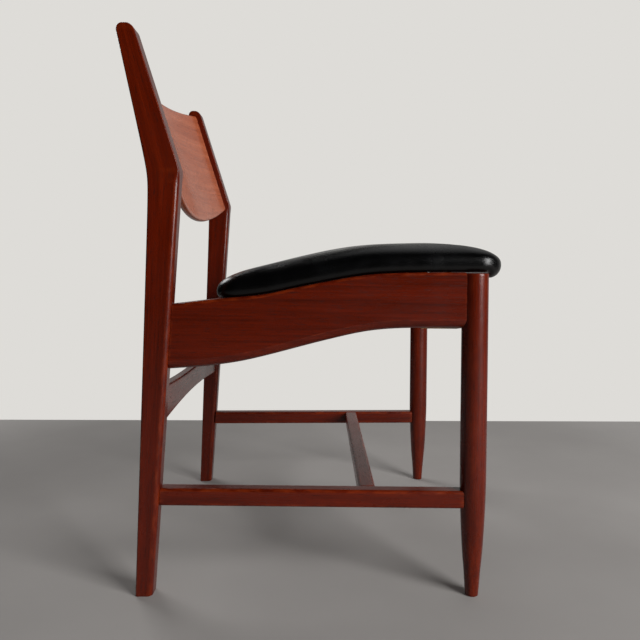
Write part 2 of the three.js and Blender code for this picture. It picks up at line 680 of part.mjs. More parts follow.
for (const { name, from, to, radius } of dowels) add(name, rod(from, to, radius), BEECH);

chair.position.y = -MIDDLE_Y;

export default chair;
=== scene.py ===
"""A wooden dining chair of the 1960s with a black leather seat pad, in a plain pale studio.

The chair faces -Y and the sitter's right is -X. Sizes are in the drawing's millimetres: the drawing's
Y runs MIDDLE_Y ahead of the frame's, and every mesh is turned to metres in the frame as it is made.
"""
import math

import bpy
import numpy as np
from mathutils import Matrix, Vector


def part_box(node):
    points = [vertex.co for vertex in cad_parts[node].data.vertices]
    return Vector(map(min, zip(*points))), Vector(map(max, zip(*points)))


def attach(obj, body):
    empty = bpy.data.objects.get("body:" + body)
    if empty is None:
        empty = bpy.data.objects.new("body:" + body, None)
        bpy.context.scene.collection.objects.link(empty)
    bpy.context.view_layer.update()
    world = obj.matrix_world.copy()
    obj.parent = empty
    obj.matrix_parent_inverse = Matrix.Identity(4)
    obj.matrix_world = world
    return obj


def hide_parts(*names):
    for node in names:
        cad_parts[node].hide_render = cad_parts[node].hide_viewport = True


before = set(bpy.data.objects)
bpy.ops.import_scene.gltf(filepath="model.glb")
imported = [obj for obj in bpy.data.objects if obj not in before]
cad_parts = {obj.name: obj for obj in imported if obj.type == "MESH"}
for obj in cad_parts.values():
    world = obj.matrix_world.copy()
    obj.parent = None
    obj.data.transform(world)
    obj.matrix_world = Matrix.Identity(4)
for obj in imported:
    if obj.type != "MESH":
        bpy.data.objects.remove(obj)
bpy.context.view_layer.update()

# ------------------------------------------------------------------ driving sizes, in millimetres

MM = 0.001
GAP = 0.3  # clearance between pieces that touch
MIDDLE_Y = 12.0  # where the frame's origin lies on the drawing, front to back
SIDES = (("right", -1), ("left", 1))


def box_mm(node):
    """Lowest and highest corners of a node, in millimetres."""
    low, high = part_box(node)
    return np.array(low) / MM, np.array(high) / MM


post_low, post_high = box_mm("rear_post_left")
leg_low, leg_high = box_mm("front_leg_left")

HEIGHT = post_high[2]
POST_OUTER = post_high[0]
POST_INNER = post_low[0]
KNEE_Z, KNEE_Y = 575.0, 177.0  # the bend in a post's front face
FRONT_RAKE, FRONT_SPLAY = 0.322, 0.0643  # its slopes above and below the bend
BACK_KNEE_Z, BACK_KNEE_Y = 567.0, 218.6
BACK_RAKE, BACK_SPLAY = 0.222, 0.032
CREST = {"front": 9.5, "back": 10.5, "side": 2.0}  # rounding of the post's top
POST_ROUND_LOW, POST_ROUND_HIGH = 6.5, 1.6  # front corners below and above the bend
POST_ROUND_BACK = 2.5

LEG_X = (leg_low[0] + leg_high[0]) / 2
LEG_Y = (leg_low[1] + leg_high[1]) / 2 + MIDDLE_Y
LEG_TOP = leg_high[2]
LEG_RADIUS = ((0, 8.9), (29, 10.9), (48, 12.6), (67, 14.1), (105, 16.1), (159, 17.65), (HEIGHT, 17.65))
FOOT_ROUND = 1.4

SIDE_BACK_X, SIDE_BACK_Y = 228.5, 191.5  # middle of a side rail where it meets the post
RAIL_THICK = 24.0
RAIL_TOP = ((-230, 442), (-130, 441), (-70, 437), (10, 422.4), (70, 409.8), (130, 404), (190, 396.8))
RAIL_BOTTOM = (
    (-230, 367), (-125, 365.8), (-75, 361.3), (-20, 349), (85, 321.5), (140, 312.5), (195, 308),
)
# The lower outer edge's bevel: height over the rail's underside, and how far in it lies there.
RAIL_BEVEL = ((0, 10), (2.1, 5.5), (5.8, 2.2), (11.5, 0))
RAIL_ROUND = 4.0

STRETCHER = {"thick": 22.0, "bottom": 121.5, "top": 145.5, "round": 4.0}
CROSS = {"y": -78.0, "wide": 23.0, "bottom": 123.0, "top": 145.0, "round": 4.0}
TENON_RADIUS, TENON_LENGTH = 6.0, 16.0

FRONT_RAIL = {"y": -219.0, "thick": 20.0, "bottom": 376.0, "top": 437.0}
SEAT_RAIL = {"y": 129.0, "thick": 20.0, "bottom": 342.0, "top": 402.6}
REAR_RAIL = {"y": 214.0, "thick": 18.0, "bottom": 228.0, "top": 281.0, "rise": 10.0, "dip": 8.0}
REAR_RAIL_ROUND = 5.0

PANEL = {
    "thick": 11.0, "setback": 10.0, "low": -6.0, "high": 197.0,
    "sag_low": 24.0, "sag_high": 34.0, "belly": 31.0, "dip": 10.0, "round": 3.5,
}

PAD = {
    "front": -262.0, "back": 133.0, "half_front": 250.0, "half_back": 241.0, "corner": 34.0,
    "belt": 10.0, "shoulder_front": 18.0, "shoulder_back": 18.0, "shoulder_side": 26.0, "round": 38.0,
    "full": 2.4, "crown": 43.0, "reach_front": 115.0, "reach_back": 100.0, "reach_side": 170.0,
    "side_from": (-30.0, 45.0), "tuck": 6.0, "tuck_front": 17.0, "tuck_from": (228.0, 245.0),
    "nose": 8.0, "nose_from": (239.0, 245.0),
}
FOAM = {"slack": 7 * GAP, "belt": 14.0, "round": 18.0, "foot": ((5.0, 0.0), (2.0, 0.8))}
LEATHER = 1.4
BOARD_THICK, BOARD_INSET = 9.0, 7.0
HEM = 26.0  # width of the leather turned under the board
DUST_CLOTH = 0.8

# ------------------------------------------------------------------ curves


def smoothstep(value, low, high):
    """0 below `low`, 1 above `high`, and 3s^2 - 2s^3 of the share s between them."""
    share = np.clip((value - low) / (high - low), 0, 1)
    return share * share * (3 - 2 * share)


def quarter(share):
    """Height of a quarter circle of radius 1 at `share` of its run: sqrt(1 - (1 - share)^2)."""
    return np.sqrt(1 - (1 - np.clip(share, 0, 1)) ** 2)


def through(points):
    """A smooth curve through (place, value) pairs: cubic pieces whose slope at each pair is the slope
    between its two neighbours."""
    places, values = np.array(points, float).T
    slopes = np.r_[
        (values[1] - values[0]) / (places[1] - places[0]),
        (values[2:] - values[:-2]) / (places[2:] - places[:-2]),
        (values[-1] - values[-2]) / (places[-1] - places[-2]),
    ]

    def value_at(place):
        place = np.clip(place, places[0], places[-1])
        i = np.clip(np.searchsorted(places, place, side="right") - 1, 0, len(places) - 2)
        span = places[i + 1] - places[i]
        t = (place - places[i]) / span
        rise = values[i + 1] - values[i]
        bend_in = (slopes[i] * span - rise) * t * (1 - t) ** 2
        bend_out = (slopes[i + 1] * span - rise) * t**2 * (t - 1)
        return values[i] + rise * t + bend_in + bend_out

    return value_at


def eased(a, b, ease):
    """The larger of two values, with the corner where they cross eased: their mean plus the length of
    half their difference and `ease` taken as two sides of a right angle."""
    return (a + b) / 2 + np.hypot((a - b) / 2, ease)


def post_front(z):
    """How far back a post's front face lies at height z: two slopes that meet at the bend."""
    return eased(KNEE_Y + (KNEE_Z - z) * FRONT_SPLAY, KNEE_Y + (z - KNEE_Z) * FRONT_RAKE, 0.6)


def post_back(z):
    """The same for its back face."""
    above, below = (z - BACK_KNEE_Z) * BACK_RAKE, (BACK_KNEE_Z - z) * BACK_SPLAY
    return eased(BACK_KNEE_Y + below, BACK_KNEE_Y + above, 2.2)


rail_top = through(RAIL_TOP)
rail_bottom = through(RAIL_BOTTOM)
rail_bevel = through(RAIL_BEVEL)
leg_radius = through(LEG_RADIUS)


def side_x(y):
    """Middle of a side rail or side stretcher, across the chair: a straight line, post to leg."""
    return SIDE_BACK_X + (LEG_X - SIDE_BACK_X) * (SIDE_BACK_Y - y) / (SIDE_BACK_Y - LEG_Y)


# ------------------------------------------------------------------ meshes


def turning(points, closed):
    """How sharply a row of points turns at each of them, in radians per millimetre: the angle between
    the steps before and after it, over their mean length. Rows run along axis 0."""
    if closed:
        before, after = points - np.roll(points, 1, 0), np.roll(points, -1, 0) - points
    else:
        steps = np.diff(points, axis=0)
        before = np.concatenate([steps[:1], steps])
        after = np.concatenate([steps, steps[-1:]])
    lengths = np.linalg.norm(before, axis=-1), np.linalg.norm(after, axis=-1)
    along = (before * after).sum(-1) / np.maximum(lengths[0] * lengths[1], 1e-9)
    angle = np.arccos(np.clip(along, -1, 1))
    return angle / np.maximum((lengths[0] + lengths[1]) / 2, 0.3)


def finish_mesh(name, points, faces, grain=None, wear=None, crease=38):
    """A mesh object in the frame, smooth but for edges sharper than `crease` degrees. Its faces are
    turned outwards: a closed shell's volume, summed over its faces' corners, is positive. `grain` is
    where each point lies in the wood (across, through, along) and `wear` is how exposed it is."""
    mesh = bpy.data.meshes.new(name)
    halves = [f[:, [0, 2, 3]] for f in faces if f.shape[1] == 4]
    corners = np.concatenate([f[:, :3] for f in faces] + halves)
    a, b, c = (points[corners[:, i]] for i in range(3))
    if (a * np.cross(b, c)).sum() < 0:
        faces = [f[:, ::-1] for f in faces]
    placed = (points - np.array([0, MIDDLE_Y, 0])) * MM
    mesh.from_pydata(placed.tolist(), [], [face for f in faces for face in f.tolist()])
    if grain is not None:
        lengths = mesh.attributes.new("grain", "FLOAT_VECTOR", "POINT")
        lengths.data.foreach_set("vector", (grain * MM).ravel())
        exposed = mesh.attributes.new("wear", "FLOAT", "POINT")
        exposed.data.foreach_set("value", wear)
    mesh.shade_smooth()
    mesh.set_sharp_from_angle(angle=math.radians(crease))
    mesh.update()
    made = bpy.data.objects.new(name, mesh)
    bpy.context.scene.collection.objects.link(made)
    return made


KEEN = 0.22  # the turn, in radians per millimetre, that counts as a fully exposed edge


def shell(name, rings, grain, crease=38):
    """A closed surface over rings of points, rows x columns x (x, y, z). Each ring closes on itself,
    and each end ring is drawn in to its own middle point."""
    rows, columns = rings.shape[:2]
    wear = np.clip(np.maximum(turning(rings, False), turning(rings.swapaxes(0, 1), True).T) / KEEN, 0, 1)
    row, column = np.meshgrid(np.arange(rows - 1), np.arange(columns), indexing="ij")
    here = (row * columns + column).ravel()
    beside = (row * columns + (column + 1) % columns).ravel()
    quads = np.stack([here, beside, beside + columns, here + columns], -1)
    ring = np.arange(columns)
    after = (ring + 1) % columns
    hub = rows * columns
    last = hub - columns
    fans = np.concatenate([
        np.stack([np.full(columns, hub), after, ring], -1),
        np.stack([np.full(columns, hub + 1), last + ring, last + after], -1),
    ])
    points = np.concatenate([rings.reshape(-1, 3), rings[:1].mean(1), rings[-1:].mean(1)])
    fibres = np.concatenate([grain.reshape(-1, 3), grain[:1].mean(1), grain[-1:].mean(1)])
    return finish_mesh(name, points, [quads, fans], fibres, np.r_[wear.ravel(), 0, 0], crease)


HOLD = 0.8  # the last stretch of a flat face before its rounded edge, which keeps the flat looking flat


def rounded_box(left, right, low, high, radii, steps=6):
    """Outline of a box with rounded corners, anticlockwise from the lower left: at each corner a
    quarter circle of its radius, and a point HOLD further along each flat. Sizes and radii may be
    arrays down the rows. Gives rows x columns arrays across and up."""
    left, right, low, high, *radii = np.broadcast_arrays(left, right, low, high, *radii)
    across, up = [], []
    turns = np.linspace(0, math.pi / 2, steps + 1)
    for corner, radius in enumerate(radii):
        start = math.pi + corner * math.pi / 2
        centre_x = (left + radius) if corner in (0, 3) else (right - radius)
        centre_y = (low + radius) if corner in (0, 1) else (high - radius)
        angles = start + turns
        x = centre_x[..., None] + radius[..., None] * np.cos(angles)
        y = centre_y[..., None] + radius[..., None] * np.sin(angles)
        lead = HOLD * np.array([-math.sin(start), math.cos(start)])
        tail = HOLD * np.array([-math.cos(start), -math.sin(start)])
        across.append(np.concatenate([x[..., :1] - lead[0], x, x[..., -1:] + tail[0]], -1))
        up.append(np.concatenate([y[..., :1] - lead[1], y, y[..., -1:] + tail[1]], -1))
    return np.concatenate(across, -1), np.concatenate(up, -1)


def bar(name, outline, ends, place, rows, tenons=False):
    """A bar of wood. `outline(run)` gives its outline (across, up) at each point of the run, and
    `ends` are two functions of (across, up) that say where the run starts and stops there, so that an
    end can be scribed to a round leg or a sloping post. Points go from one end to the other in equal
    steps. Each end is closed by shrinking its outline, onto a round tenon where there is one."""
    nominal = [float(end(0.0, float(np.mean(outline(np.zeros((1, 1)))[1])))) for end in ends]
    edge = []
    for end, at in zip(ends, nominal):
        u, v = outline(np.full((1, 1), at))
        edge.append(end(u[0], v[0]))
    share = np.linspace(0, 1, rows)[:, None]
    run = edge[0][None] * (1 - share) + edge[1][None] * share
    u, v = outline(run)
    parts = [place(run, u, v)]
    fibre = [np.stack([u, v, run], -1)]
    for which, end in enumerate(ends):
        row = -which
        middle = (u[row].max() + u[row].min()) / 2, (v[row].max() + v[row].min()) / 2
        shapes = []
        if tenons:
            angle = np.arctan2(v[row] - middle[1], u[row] - middle[0])
            cu = middle[0] + TENON_RADIUS * np.cos(angle)
            cv = middle[1] + TENON_RADIUS * np.sin(angle)
            outwards = np.sign(nominal[1] - nominal[0]) * (1 if which else -1)
            tip = end(*middle) + TENON_LENGTH * outwards
            shapes = [(cu, cv, end(cu, cv)), (cu, cv, np.full_like(cu, tip))]
        else:
            for share_in in (0.7, 0.35):
                su = middle[0] + (u[row] - middle[0]) * share_in
                sv = middle[1] + (v[row] - middle[1]) * share_in
                shapes.append((su, sv, end(su, sv)))
        made = [place(r[None], a[None], b[None]) for a, b, r in shapes]
        lines = [np.stack([a, b, r], -1)[None] for a, b, r in shapes]
        if which:
            parts, fibre = parts + made, fibre + lines
        else:
            parts, fibre = made[::-1] + parts, lines[::-1] + fibre
    return shell(name, np.concatenate(parts), np.concatenate(fibre))


def straight(outline):
    """The outline of a bar that stays the same all along its run."""
    u, v = outline
    return lambda run: (u + 0 * run, v + 0 * run)


def square_ends(reach):
    """The two ends of a bar cut square at -reach and reach."""
    return (lambda u, v: -reach + 0 * u, lambda u, v: reach + 0 * u)


# ------------------------------------------------------------------ rear posts


def rear_post(side, sign):
    """Level slices of a post, each a box between its front and back faces. Near the top each face
    comes in by radius * (1 - quarter circle), and the front corners' radius changes at the bend."""
    top_rows = HEIGHT - CREST["front"] * (1 - np.sin(np.linspace(0, math.pi / 2, 22)))
    z = np.r_[
        FOOT_ROUND * (1 - np.cos(np.linspace(0, math.pi / 2, 5))),
        np.linspace(6, 535, 70),
        np.linspace(538, 612, 75),
        np.linspace(616, HEIGHT - CREST["front"] - 2, 30),
        top_rows,
    ]

    def crest(radius):
        return radius * (1 - np.sqrt(1 - np.clip((z - HEIGHT + radius) / radius, 0, 1) ** 2))

    foot = FOOT_ROUND * (1 - quarter(z / FOOT_ROUND))
    front = post_front(z) + crest(CREST["front"]) + foot
    back = post_back(z) - crest(CREST["back"]) - foot
    ease = crest(CREST["side"]) + foot
    high = smoothstep(z, KNEE_Z - 16, KNEE_Z + 4)
    widest = (back - front) / 3
    front_round = np.minimum(POST_ROUND_LOW + (POST_ROUND_HIGH - POST_ROUND_LOW) * high, widest)
    back_round = np.minimum(POST_ROUND_BACK, widest)
    left, right = POST_INNER + ease, POST_OUTER - ease
    x, y = rounded_box(left, right, front, back, (front_round, front_round, back_round, back_round), 8)
    height = np.broadcast_to(z[:, None], x.shape)
    middle = ((front + back) / 2)[:, None]
    rings = np.stack([sign * x, y, height], -1)
    return shell(f"{side}_post", rings, np.stack([sign * x, y - middle, height], -1), crease=50)


# ------------------------------------------------------------------ front legs


def front_leg(side, sign, columns=72):
    """A turned leg: circles whose radius follows the taper, eased at the foot and at the top."""
    z = np.r_[
        FOOT_ROUND * (1 - np.cos(np.linspace(0, math.pi / 2, 6))),
        np.linspace(4, LEG_TOP - 4, 110),
        LEG_TOP - 1.0 * (1 - np.sin(np.linspace(0, math.pi / 2, 5))),
    ]
    radius = leg_radius(z) - FOOT_ROUND * (1 - quarter(z / FOOT_ROUND)) - (1 - quarter((LEG_TOP - z) / 1.0))
    angle = np.linspace(0, 2 * math.pi, columns, endpoint=False)[None]
    x = radius[:, None] * np.cos(angle)
    y = radius[:, None] * np.sin(angle)
    height = np.broadcast_to(z[:, None], x.shape)
    rings = np.stack([sign * LEG_X + x, LEG_Y + y, height], -1)
    return shell(f"{side}_leg", rings, np.stack([x, y, height], -1))


def leg_face(across, up):
    """Where a piece that runs front to back meets the round leg: the leg's middle plus
    sqrt(radius^2 - across^2)."""
    radius = leg_radius(HEIGHT) + GAP
    return LEG_Y + np.sqrt(radius**2 - across**2) + 0 * up


def post_face(across, up):
    """Where it meets the post's sloping front face."""
    return post_front(up) - GAP + 0 * across


# ------------------------------------------------------------------ side rails and stretchers


def side_rail(side, sign):
    """A sawn rail whose top and underside follow two curves, rounded above and bevelled below on the
    outside. Its rear end lies along the post, and its front end is scribed round the leg."""
    half = RAIL_THICK / 2
    turns = np.linspace(0, math.pi / 2, 9)
    bevel_rise = np.r_[0, np.linspace(0.6, RAIL_BEVEL[-1][0], 10)]
    # Each column of the outline: across, which curve it hangs from, and how far from that curve.
    inner_top = [(-half + 1 - np.sin(a), 1, -(1 - np.cos(a))) for a in turns[::2]]
    outer_top = [
        (half - RAIL_ROUND * (1 - np.sin(a)), 1, -RAIL_ROUND * (1 - np.cos(a))) for a in turns
    ]
    bevel = [(half - rail_bevel(r), 0, r) for r in bevel_rise]
    inner_low = [(-half + 2 * (1 - np.sin(a)), 0, 2 * (1 - np.cos(a))) for a in turns[::2]]
    columns = [
        (-half, 1, -1 - HOLD), *inner_top[::-1], (-half + 1 + HOLD, 1, 0),
        (half - RAIL_ROUND - HOLD, 1, 0), *outer_top, (half, 1, -RAIL_ROUND - HOLD),
        (half, 0, RAIL_BEVEL[-1][0] + HOLD / 2), *bevel[::-1], (half - RAIL_BEVEL[0][1] - HOLD, 0, 0),
        (-half + 2 + HOLD, 0, 0), *inner_low, (-half, 0, 2 + HOLD),
    ]
    across, hangs, offset = np.array(columns, float).T

    def outline(run):
        curve = np.where(hangs > 0.5, rail_top(run), rail_bottom(run))
        return across + 0 * run, curve + offset

    def place(run, u, v):
        return np.stack([sign * (side_x(run) + u), run, v], -1)

    return bar(f"{side}_side_rail", outline, (post_face, leg_face), place, 130)


def side_stretcher(side, sign):
    """A straight bar with rounded edges between post and leg, with a round tenon at each end."""
    half = STRETCHER["thick"] / 2
    radii = (STRETCHER["round"],) * 4
    outline = straight(rounded_box(-half, half, STRETCHER["bottom"], STRETCHER["top"], radii, 7))

    def place(run, u, v):
        return np.stack([sign * (side_x(run) + u), run, v], -1)

    return bar(f"{side}_side_stretcher", outline, (post_face, leg_face), place, 60, tenons=True)


def cross_stretcher():
    """The bar between the side stretchers, tenoned into their inner faces."""
    half = CROSS["wide"] / 2
    reach = side_x(CROSS["y"] + half) - STRETCHER["thick"] / 2 - GAP
    outline = straight(rounded_box(-half, half, CROSS["bottom"], CROSS["top"], (CROSS["round"],) * 4, 7))

    def place(run, u, v):
        return np.stack([run, CROSS["y"] + u, v], -1)

    return bar("middle_stretcher", outline, square_ends(reach), place, 60, tenons=True)


# ------------------------------------------------------------------ rails across the chair


def front_cross_rail():
    """The rail behind the front edge of the seat, scribed round the two legs."""
    half = FRONT_RAIL["thick"] / 2
    radius = leg_radius(HEIGHT) + GAP
    outline = straight(rounded_box(-half, half, FRONT_RAIL["bottom"], FRONT_RAIL["top"], (2.0,) * 4, 4))

    def place(run, u, v):
        return np.stack([run, FRONT_RAIL["y"] + u, v], -1)

    def reach(u):
        return LEG_X - np.sqrt(radius**2 - (FRONT_RAIL["y"] + u - LEG_Y) ** 2)

    return bar("front_cross_rail", outline, (lambda u, v: -reach(u), lambda u, v: reach(u)), place, 60)


def seat_cross_rail():
    """The rail under the rear edge of the seat, square between the side rails."""
    half = SEAT_RAIL["thick"] / 2
    reach = side_x(SEAT_RAIL["y"] + half) - RAIL_THICK / 2 - GAP
    outline = straight(rounded_box(-half, half, SEAT_RAIL["bottom"], SEAT_RAIL["top"], (1.5,) * 4, 4))

    def place(run, u, v):
        return np.stack([run, SEAT_RAIL["y"] + u, v], -1)

    return bar("seat_cross_rail", outline, square_ends(reach), place, 30)


def rear_cross_rail():
    """The waisted rail between the posts: its top dips and its underside rises by a parabola,
    1 - (x / half the width)^2, towards the middle, and its long edges are strongly rounded."""
    half = REAR_RAIL["thick"] / 2

    def outline(run):
        arch = 1 - (run[:, :1] / POST_INNER) ** 2
        low = REAR_RAIL["bottom"] + REAR_RAIL["rise"] * arch[:, 0]
        high = REAR_RAIL["top"] - REAR_RAIL["dip"] * arch[:, 0]
        return rounded_box(-half, half, low, high, (REAR_RAIL_ROUND,) * 4, 7)

    def place(run, u, v):
        return np.stack([run + 0 * u, REAR_RAIL["y"] + u, v], -1)

    reach = POST_INNER - GAP
    return bar("rear_cross_rail", outline, square_ends(reach), place, 90)


# ------------------------------------------------------------------ backrest


def backrest():
    """The bent panel. A point is set out from the bend in the posts, up along their front faces and
    back from them by the setback plus sag * (1 - (x / half the width)^2); the sag grows up the panel,
    and its lower and upper edges hang lower in the middle by the same parabola."""
    length = math.hypot(1, FRONT_RAKE)
    up_post = np.array([0, FRONT_RAKE, 1]) / length
    out_of_post = np.array([0, -1, FRONT_RAKE]) / length
    knee = np.array([0, KNEE_Y, KNEE_Z])
    reach = POST_INNER - GAP
    x = np.linspace(-reach, reach, 121)[:, None]
    bow = 1 - (x / POST_INNER) ** 2
    low = PANEL["low"] - PANEL["belly"] * bow
    high = PANEL["high"] - PANEL["dip"] * bow
    r, thick = PANEL["round"], PANEL["thick"]
    turns = np.linspace(0, math.pi / 2, 8)
    faces = np.linspace(0, 1, 26)[1:-1]
    # Columns: share of the way up, distance in from the edge, and depth behind the front face.
    low_front = [(0, r * (1 - np.sin(a)), r * (1 - np.cos(a))) for a in turns]
    low_back = [(0, r * (1 - np.cos(a)), thick - r * (1 - np.sin(a))) for a in turns]
    columns = [
        *low_front[::-1],
        *[(s, 0, 0) for s in faces],
        *[(1, -rise, deep) for _, rise, deep in low_front],
        *[(1, -rise, deep) for _, rise, deep in low_back],
        *[(s, 0, thick) for s in faces[::-1]],
        *low_back[::-1],
    ]
    share, rise, deep = np.array(columns, float).T
    inset = np.where((share > 0) & (share < 1), 0, rise)
    low_in, high_in = low + r, high - r
    between = low_in + (high_in - low_in) * share
    up = np.where(share == 0, low + inset, np.where(share == 1, high + inset, between))
    sag_share = (up - PANEL["low"]) / (PANEL["high"] - PANEL["low"])
    sag = PANEL["sag_low"] + (PANEL["sag_high"] - PANEL["sag_low"]) * sag_share
    back = PANEL["setback"] + sag * bow + deep
    points = knee + up[..., None] * up_post - back[..., None] * out_of_post
    points[..., 0] = x + 0 * up
    grain = np.stack([up, deep + 0 * up, x + 0 * up], -1)
    return shell("backrest", points, grain, crease=60)


# ------------------------------------------------------------------ seat

RIM_COUNTS = {"front": 62, "corner": 12, "side": 46, "back": 62}  # steps along each stretch of the rim


def pad_width(y):
    """Half the pad's width at y, if its corners were square: a straight line, front to back."""
    share = (y - PAD["front"]) / (PAD["back"] - PAD["front"])
    return PAD["half_front"] + (PAD["half_back"] - PAD["half_front"]) * share


def rim(inset):
    """The pad's outline in plan, drawn in by `inset`, as points (x, y) anticlockwise from the middle of
    the front left corner's arc: four straight stretches joined by quarter circles."""
    front, back = PAD["front"] + inset, PAD["back"] - inset
    radius = max(PAD["corner"] - inset, 5)
    wide_front = pad_width(front + radius) - inset
    wide_back = pad_width(back - radius) - inset
    centres = (
        (-wide_front + radius, front + radius), (wide_front - radius, front + radius),
        (wide_back - radius, back - radius), (-wide_back + radius, back - radius),
    )
    turns = np.linspace(0, math.pi / 2, RIM_COUNTS["corner"] + 1)
    arcs = []
    for corner, (x, y) in enumerate(centres):
        angle = math.pi * (1 + corner / 2) + turns
        arcs.append(np.stack([x + radius * np.cos(angle), y + radius * np.sin(angle)], -1))
    stretches = []
    half = RIM_COUNTS["corner"] // 2
    for corner, along in enumerate(("front", "side", "back", "side")):
        leaving, meeting = arcs[corner], arcs[(corner + 1) % 4]
        share = np.linspace(0, 1, RIM_COUNTS[along] + 1)[1:-1, None]
        straight = leaving[-1] * (1 - share) + meeting[0] * share
        stretches += [leaving[half:], straight, meeting[:half]]
    return np.concatenate(stretches)


def edge_distances(x, y):
    """How far a point lies in from the pad's side and from its nearer end, as if its corners were
    square."""
    return pad_width(y) - np.abs(x), np.minimum(y - PAD["front"], PAD["back"] - y)


def inside(x, y):
    """How far in from the rim a point lies: the smaller of its distances to the side and to the end,
    and near a corner the radius less the distance to the corner arc's middle."""
    to_side, to_end = edge_distances(x, y)
    past_side, past_end = PAD["corner"] - to_side, PAD["corner"] - to_end
    beyond = np.hypot(np.maximum(past_side, 0), np.maximum(past_end, 0))
    return PAD["corner"] - beyond - np.minimum(np.maximum(past_side, past_end), 0)


def domed(share, full):
    """A quarter of a superellipse: (1 - (1 - share)^full)^(1 / full), from 0 to 1."""
    return (1 - (1 - np.clip(share, 0, 1)) ** full) ** (1 / full)


def pad_top(x, y):
    """Height of the pad over the rails: the belt, a shoulder that follows the rim and is taller at the
    sides than at the ends, and a crown that rises by 1 - (1 - distance / reach)^2 from the side times
    the same from the end."""
    to_side, to_end = edge_distances(x, y)
    to_back = smoothstep(y, PAD["front"], PAD["back"])
    reach = PAD["reach_front"] + (PAD["reach_back"] - PAD["reach_front"]) * to_back
    swell_end = 1 - (1 - np.clip(to_end / reach, 0, 1)) ** 2
    swell_side = 1 - (1 - np.clip(to_side / PAD["reach_side"], 0, 1)) ** 2
    tall = PAD["shoulder_front"] + (PAD["shoulder_back"] - PAD["shoulder_front"]) * to_back
    tall = tall + (PAD["shoulder_side"] - tall) * smoothstep(to_end - to_side, *PAD["side_from"])
    shoulder = tall * domed(inside(x, y) / PAD["round"], PAD["full"])
    return PAD["belt"] + shoulder + (PAD["crown"] - PAD["belt"] - tall) * swell_end * swell_side


def pad_under(deep, y):
    """Height of the leather below the belt, `deep` in from the rim: a quarter ellipse down to the rails,
    and a longer one, further down, where the front edge overhangs them."""
    hang = PAD["nose"] * smoothstep(-y, *PAD["nose_from"])
    tuck = PAD["tuck"] + (PAD["tuck_front"] - PAD["tuck"]) * smoothstep(-y, *PAD["tuck_from"])
    return PAD["belt"] - (PAD["belt"] + hang) * quarter(deep / tuck)


def filled(loop, first, height):
    """A grid that fills a loop of points: each inner point is the mean of the straight lines between
    opposite sides, less the bilinear blend of the four corners (a Coons patch), at `height` of (x, y).
    Gives the new points and the quads. A quad's outer points are the loop's own, numbered from `first`,
    and the new ones are numbered -1, -2, -3 and so on."""
    across = RIM_COUNTS["front"] + RIM_COUNTS["corner"]
    along = RIM_COUNTS["side"] + RIM_COUNTS["corner"]
    total = 2 * (across + along)
    order = np.arange(total)
    low, right = order[: across + 1], order[across : across + along + 1]
    high = order[across + along : 2 * across + along + 1][::-1]
    left = np.r_[order[2 * across + along :], 0][::-1]
    u = np.linspace(0, 1, across + 1)[None, :, None]
    v = np.linspace(0, 1, along + 1)[:, None, None]
    sides = (1 - v) * loop[low][None] + v * loop[high][None]
    sides = sides + (1 - u) * loop[left][:, None] + u * loop[right][:, None]
    corners = (
        (1 - u) * (1 - v) * loop[low[0]] + u * (1 - v) * loop[low[-1]]
        + (1 - u) * v * loop[high[0]] + u * v * loop[high[-1]]
    )
    grid = sides - corners
    index = np.zeros((along + 1, across + 1), int)
    index[0], index[-1] = first + low, first + high
    index[:, 0], index[:, -1] = first + left, first + right
    inner = grid[1:-1, 1:-1].copy()
    index[1:-1, 1:-1] = -1 - np.arange(inner[..., 0].size).reshape(inner.shape[:2])
    inner[..., 2] = height(inner[..., 0], inner[..., 1])
    quads = np.stack([index[:-1, :-1], index[:-1, 1:], index[1:, 1:], index[1:, :-1]], -1).reshape(-1, 4)
    return inner.reshape(-1, 3), quads


def layer(levels, top=None, bottom=None):
    """A layer of the seat, from loops of the rim stacked from the inside of its underside to its top.
    `levels` holds (inset, height over the rails), where a height may be a function of (x, y). `top`
    and `bottom`, where given, fill the last and the first loop at that height of (x, y)."""
    loops = []
    for inset, height in levels:
        plan = rim(inset)
        over = height(*plan.T) if callable(height) else height
        loops.append(np.column_stack([plan, rail_top(plan[:, 1]) + over]))
    rings = np.stack(loops)
    rows, columns = rings.shape[:2]
    row, column = np.meshgrid(np.arange(rows - 1), np.arange(columns), indexing="ij")
    here = (row * columns + column).ravel()
    beside = (row * columns + (column + 1) % columns).ravel()
    faces = [np.stack([here, beside, beside + columns, here + columns], -1)]
    points = rings.reshape(-1, 3)
    ends = ((rings[-1], (rows - 1) * columns, top, False), (rings[0], 0, bottom, True))
    for ring, first, height, flip in ends:
        if height is not None:
            inner, quads = filled(ring, first, height)
            quads = np.where(quads < 0, len(points) - 1 - quads, quads)
            faces.append(quads[:, ::-1] if flip else quads)
            points = np.concatenate([points, inner])
    return points, faces


def over_rails(height):
    """A height of (x, y) that stays the same over the rails."""
    return lambda x, y: rail_top(y) + height


RINGED = 0.7  # share of the shoulder that is laid out in loops of the rim


def cover_levels(under_from):
    """Loops of the leather: in from the hem's edge, round the tuck, up the belt and over the shoulder.
    Steps round each quarter ellipse are even in angle."""
    turns = np.linspace(0, math.pi / 2, 7)
    tuck = [PAD["tuck"] * (1 - math.sin(a)) for a in turns]
    reach = RINGED * PAD["round"]
    shoulder = [reach * (1 - math.cos(a)) for a in np.linspace(0, math.pi / 2, 10)[1:]]
    flat = np.linspace(under_from, PAD["tuck"] + 2, 8)
    levels = [(d, lambda x, y, d=d: pad_under(d, y) + GAP) for d in [*flat, *tuck]]
    return levels + [(d, pad_top) for d in shoulder]


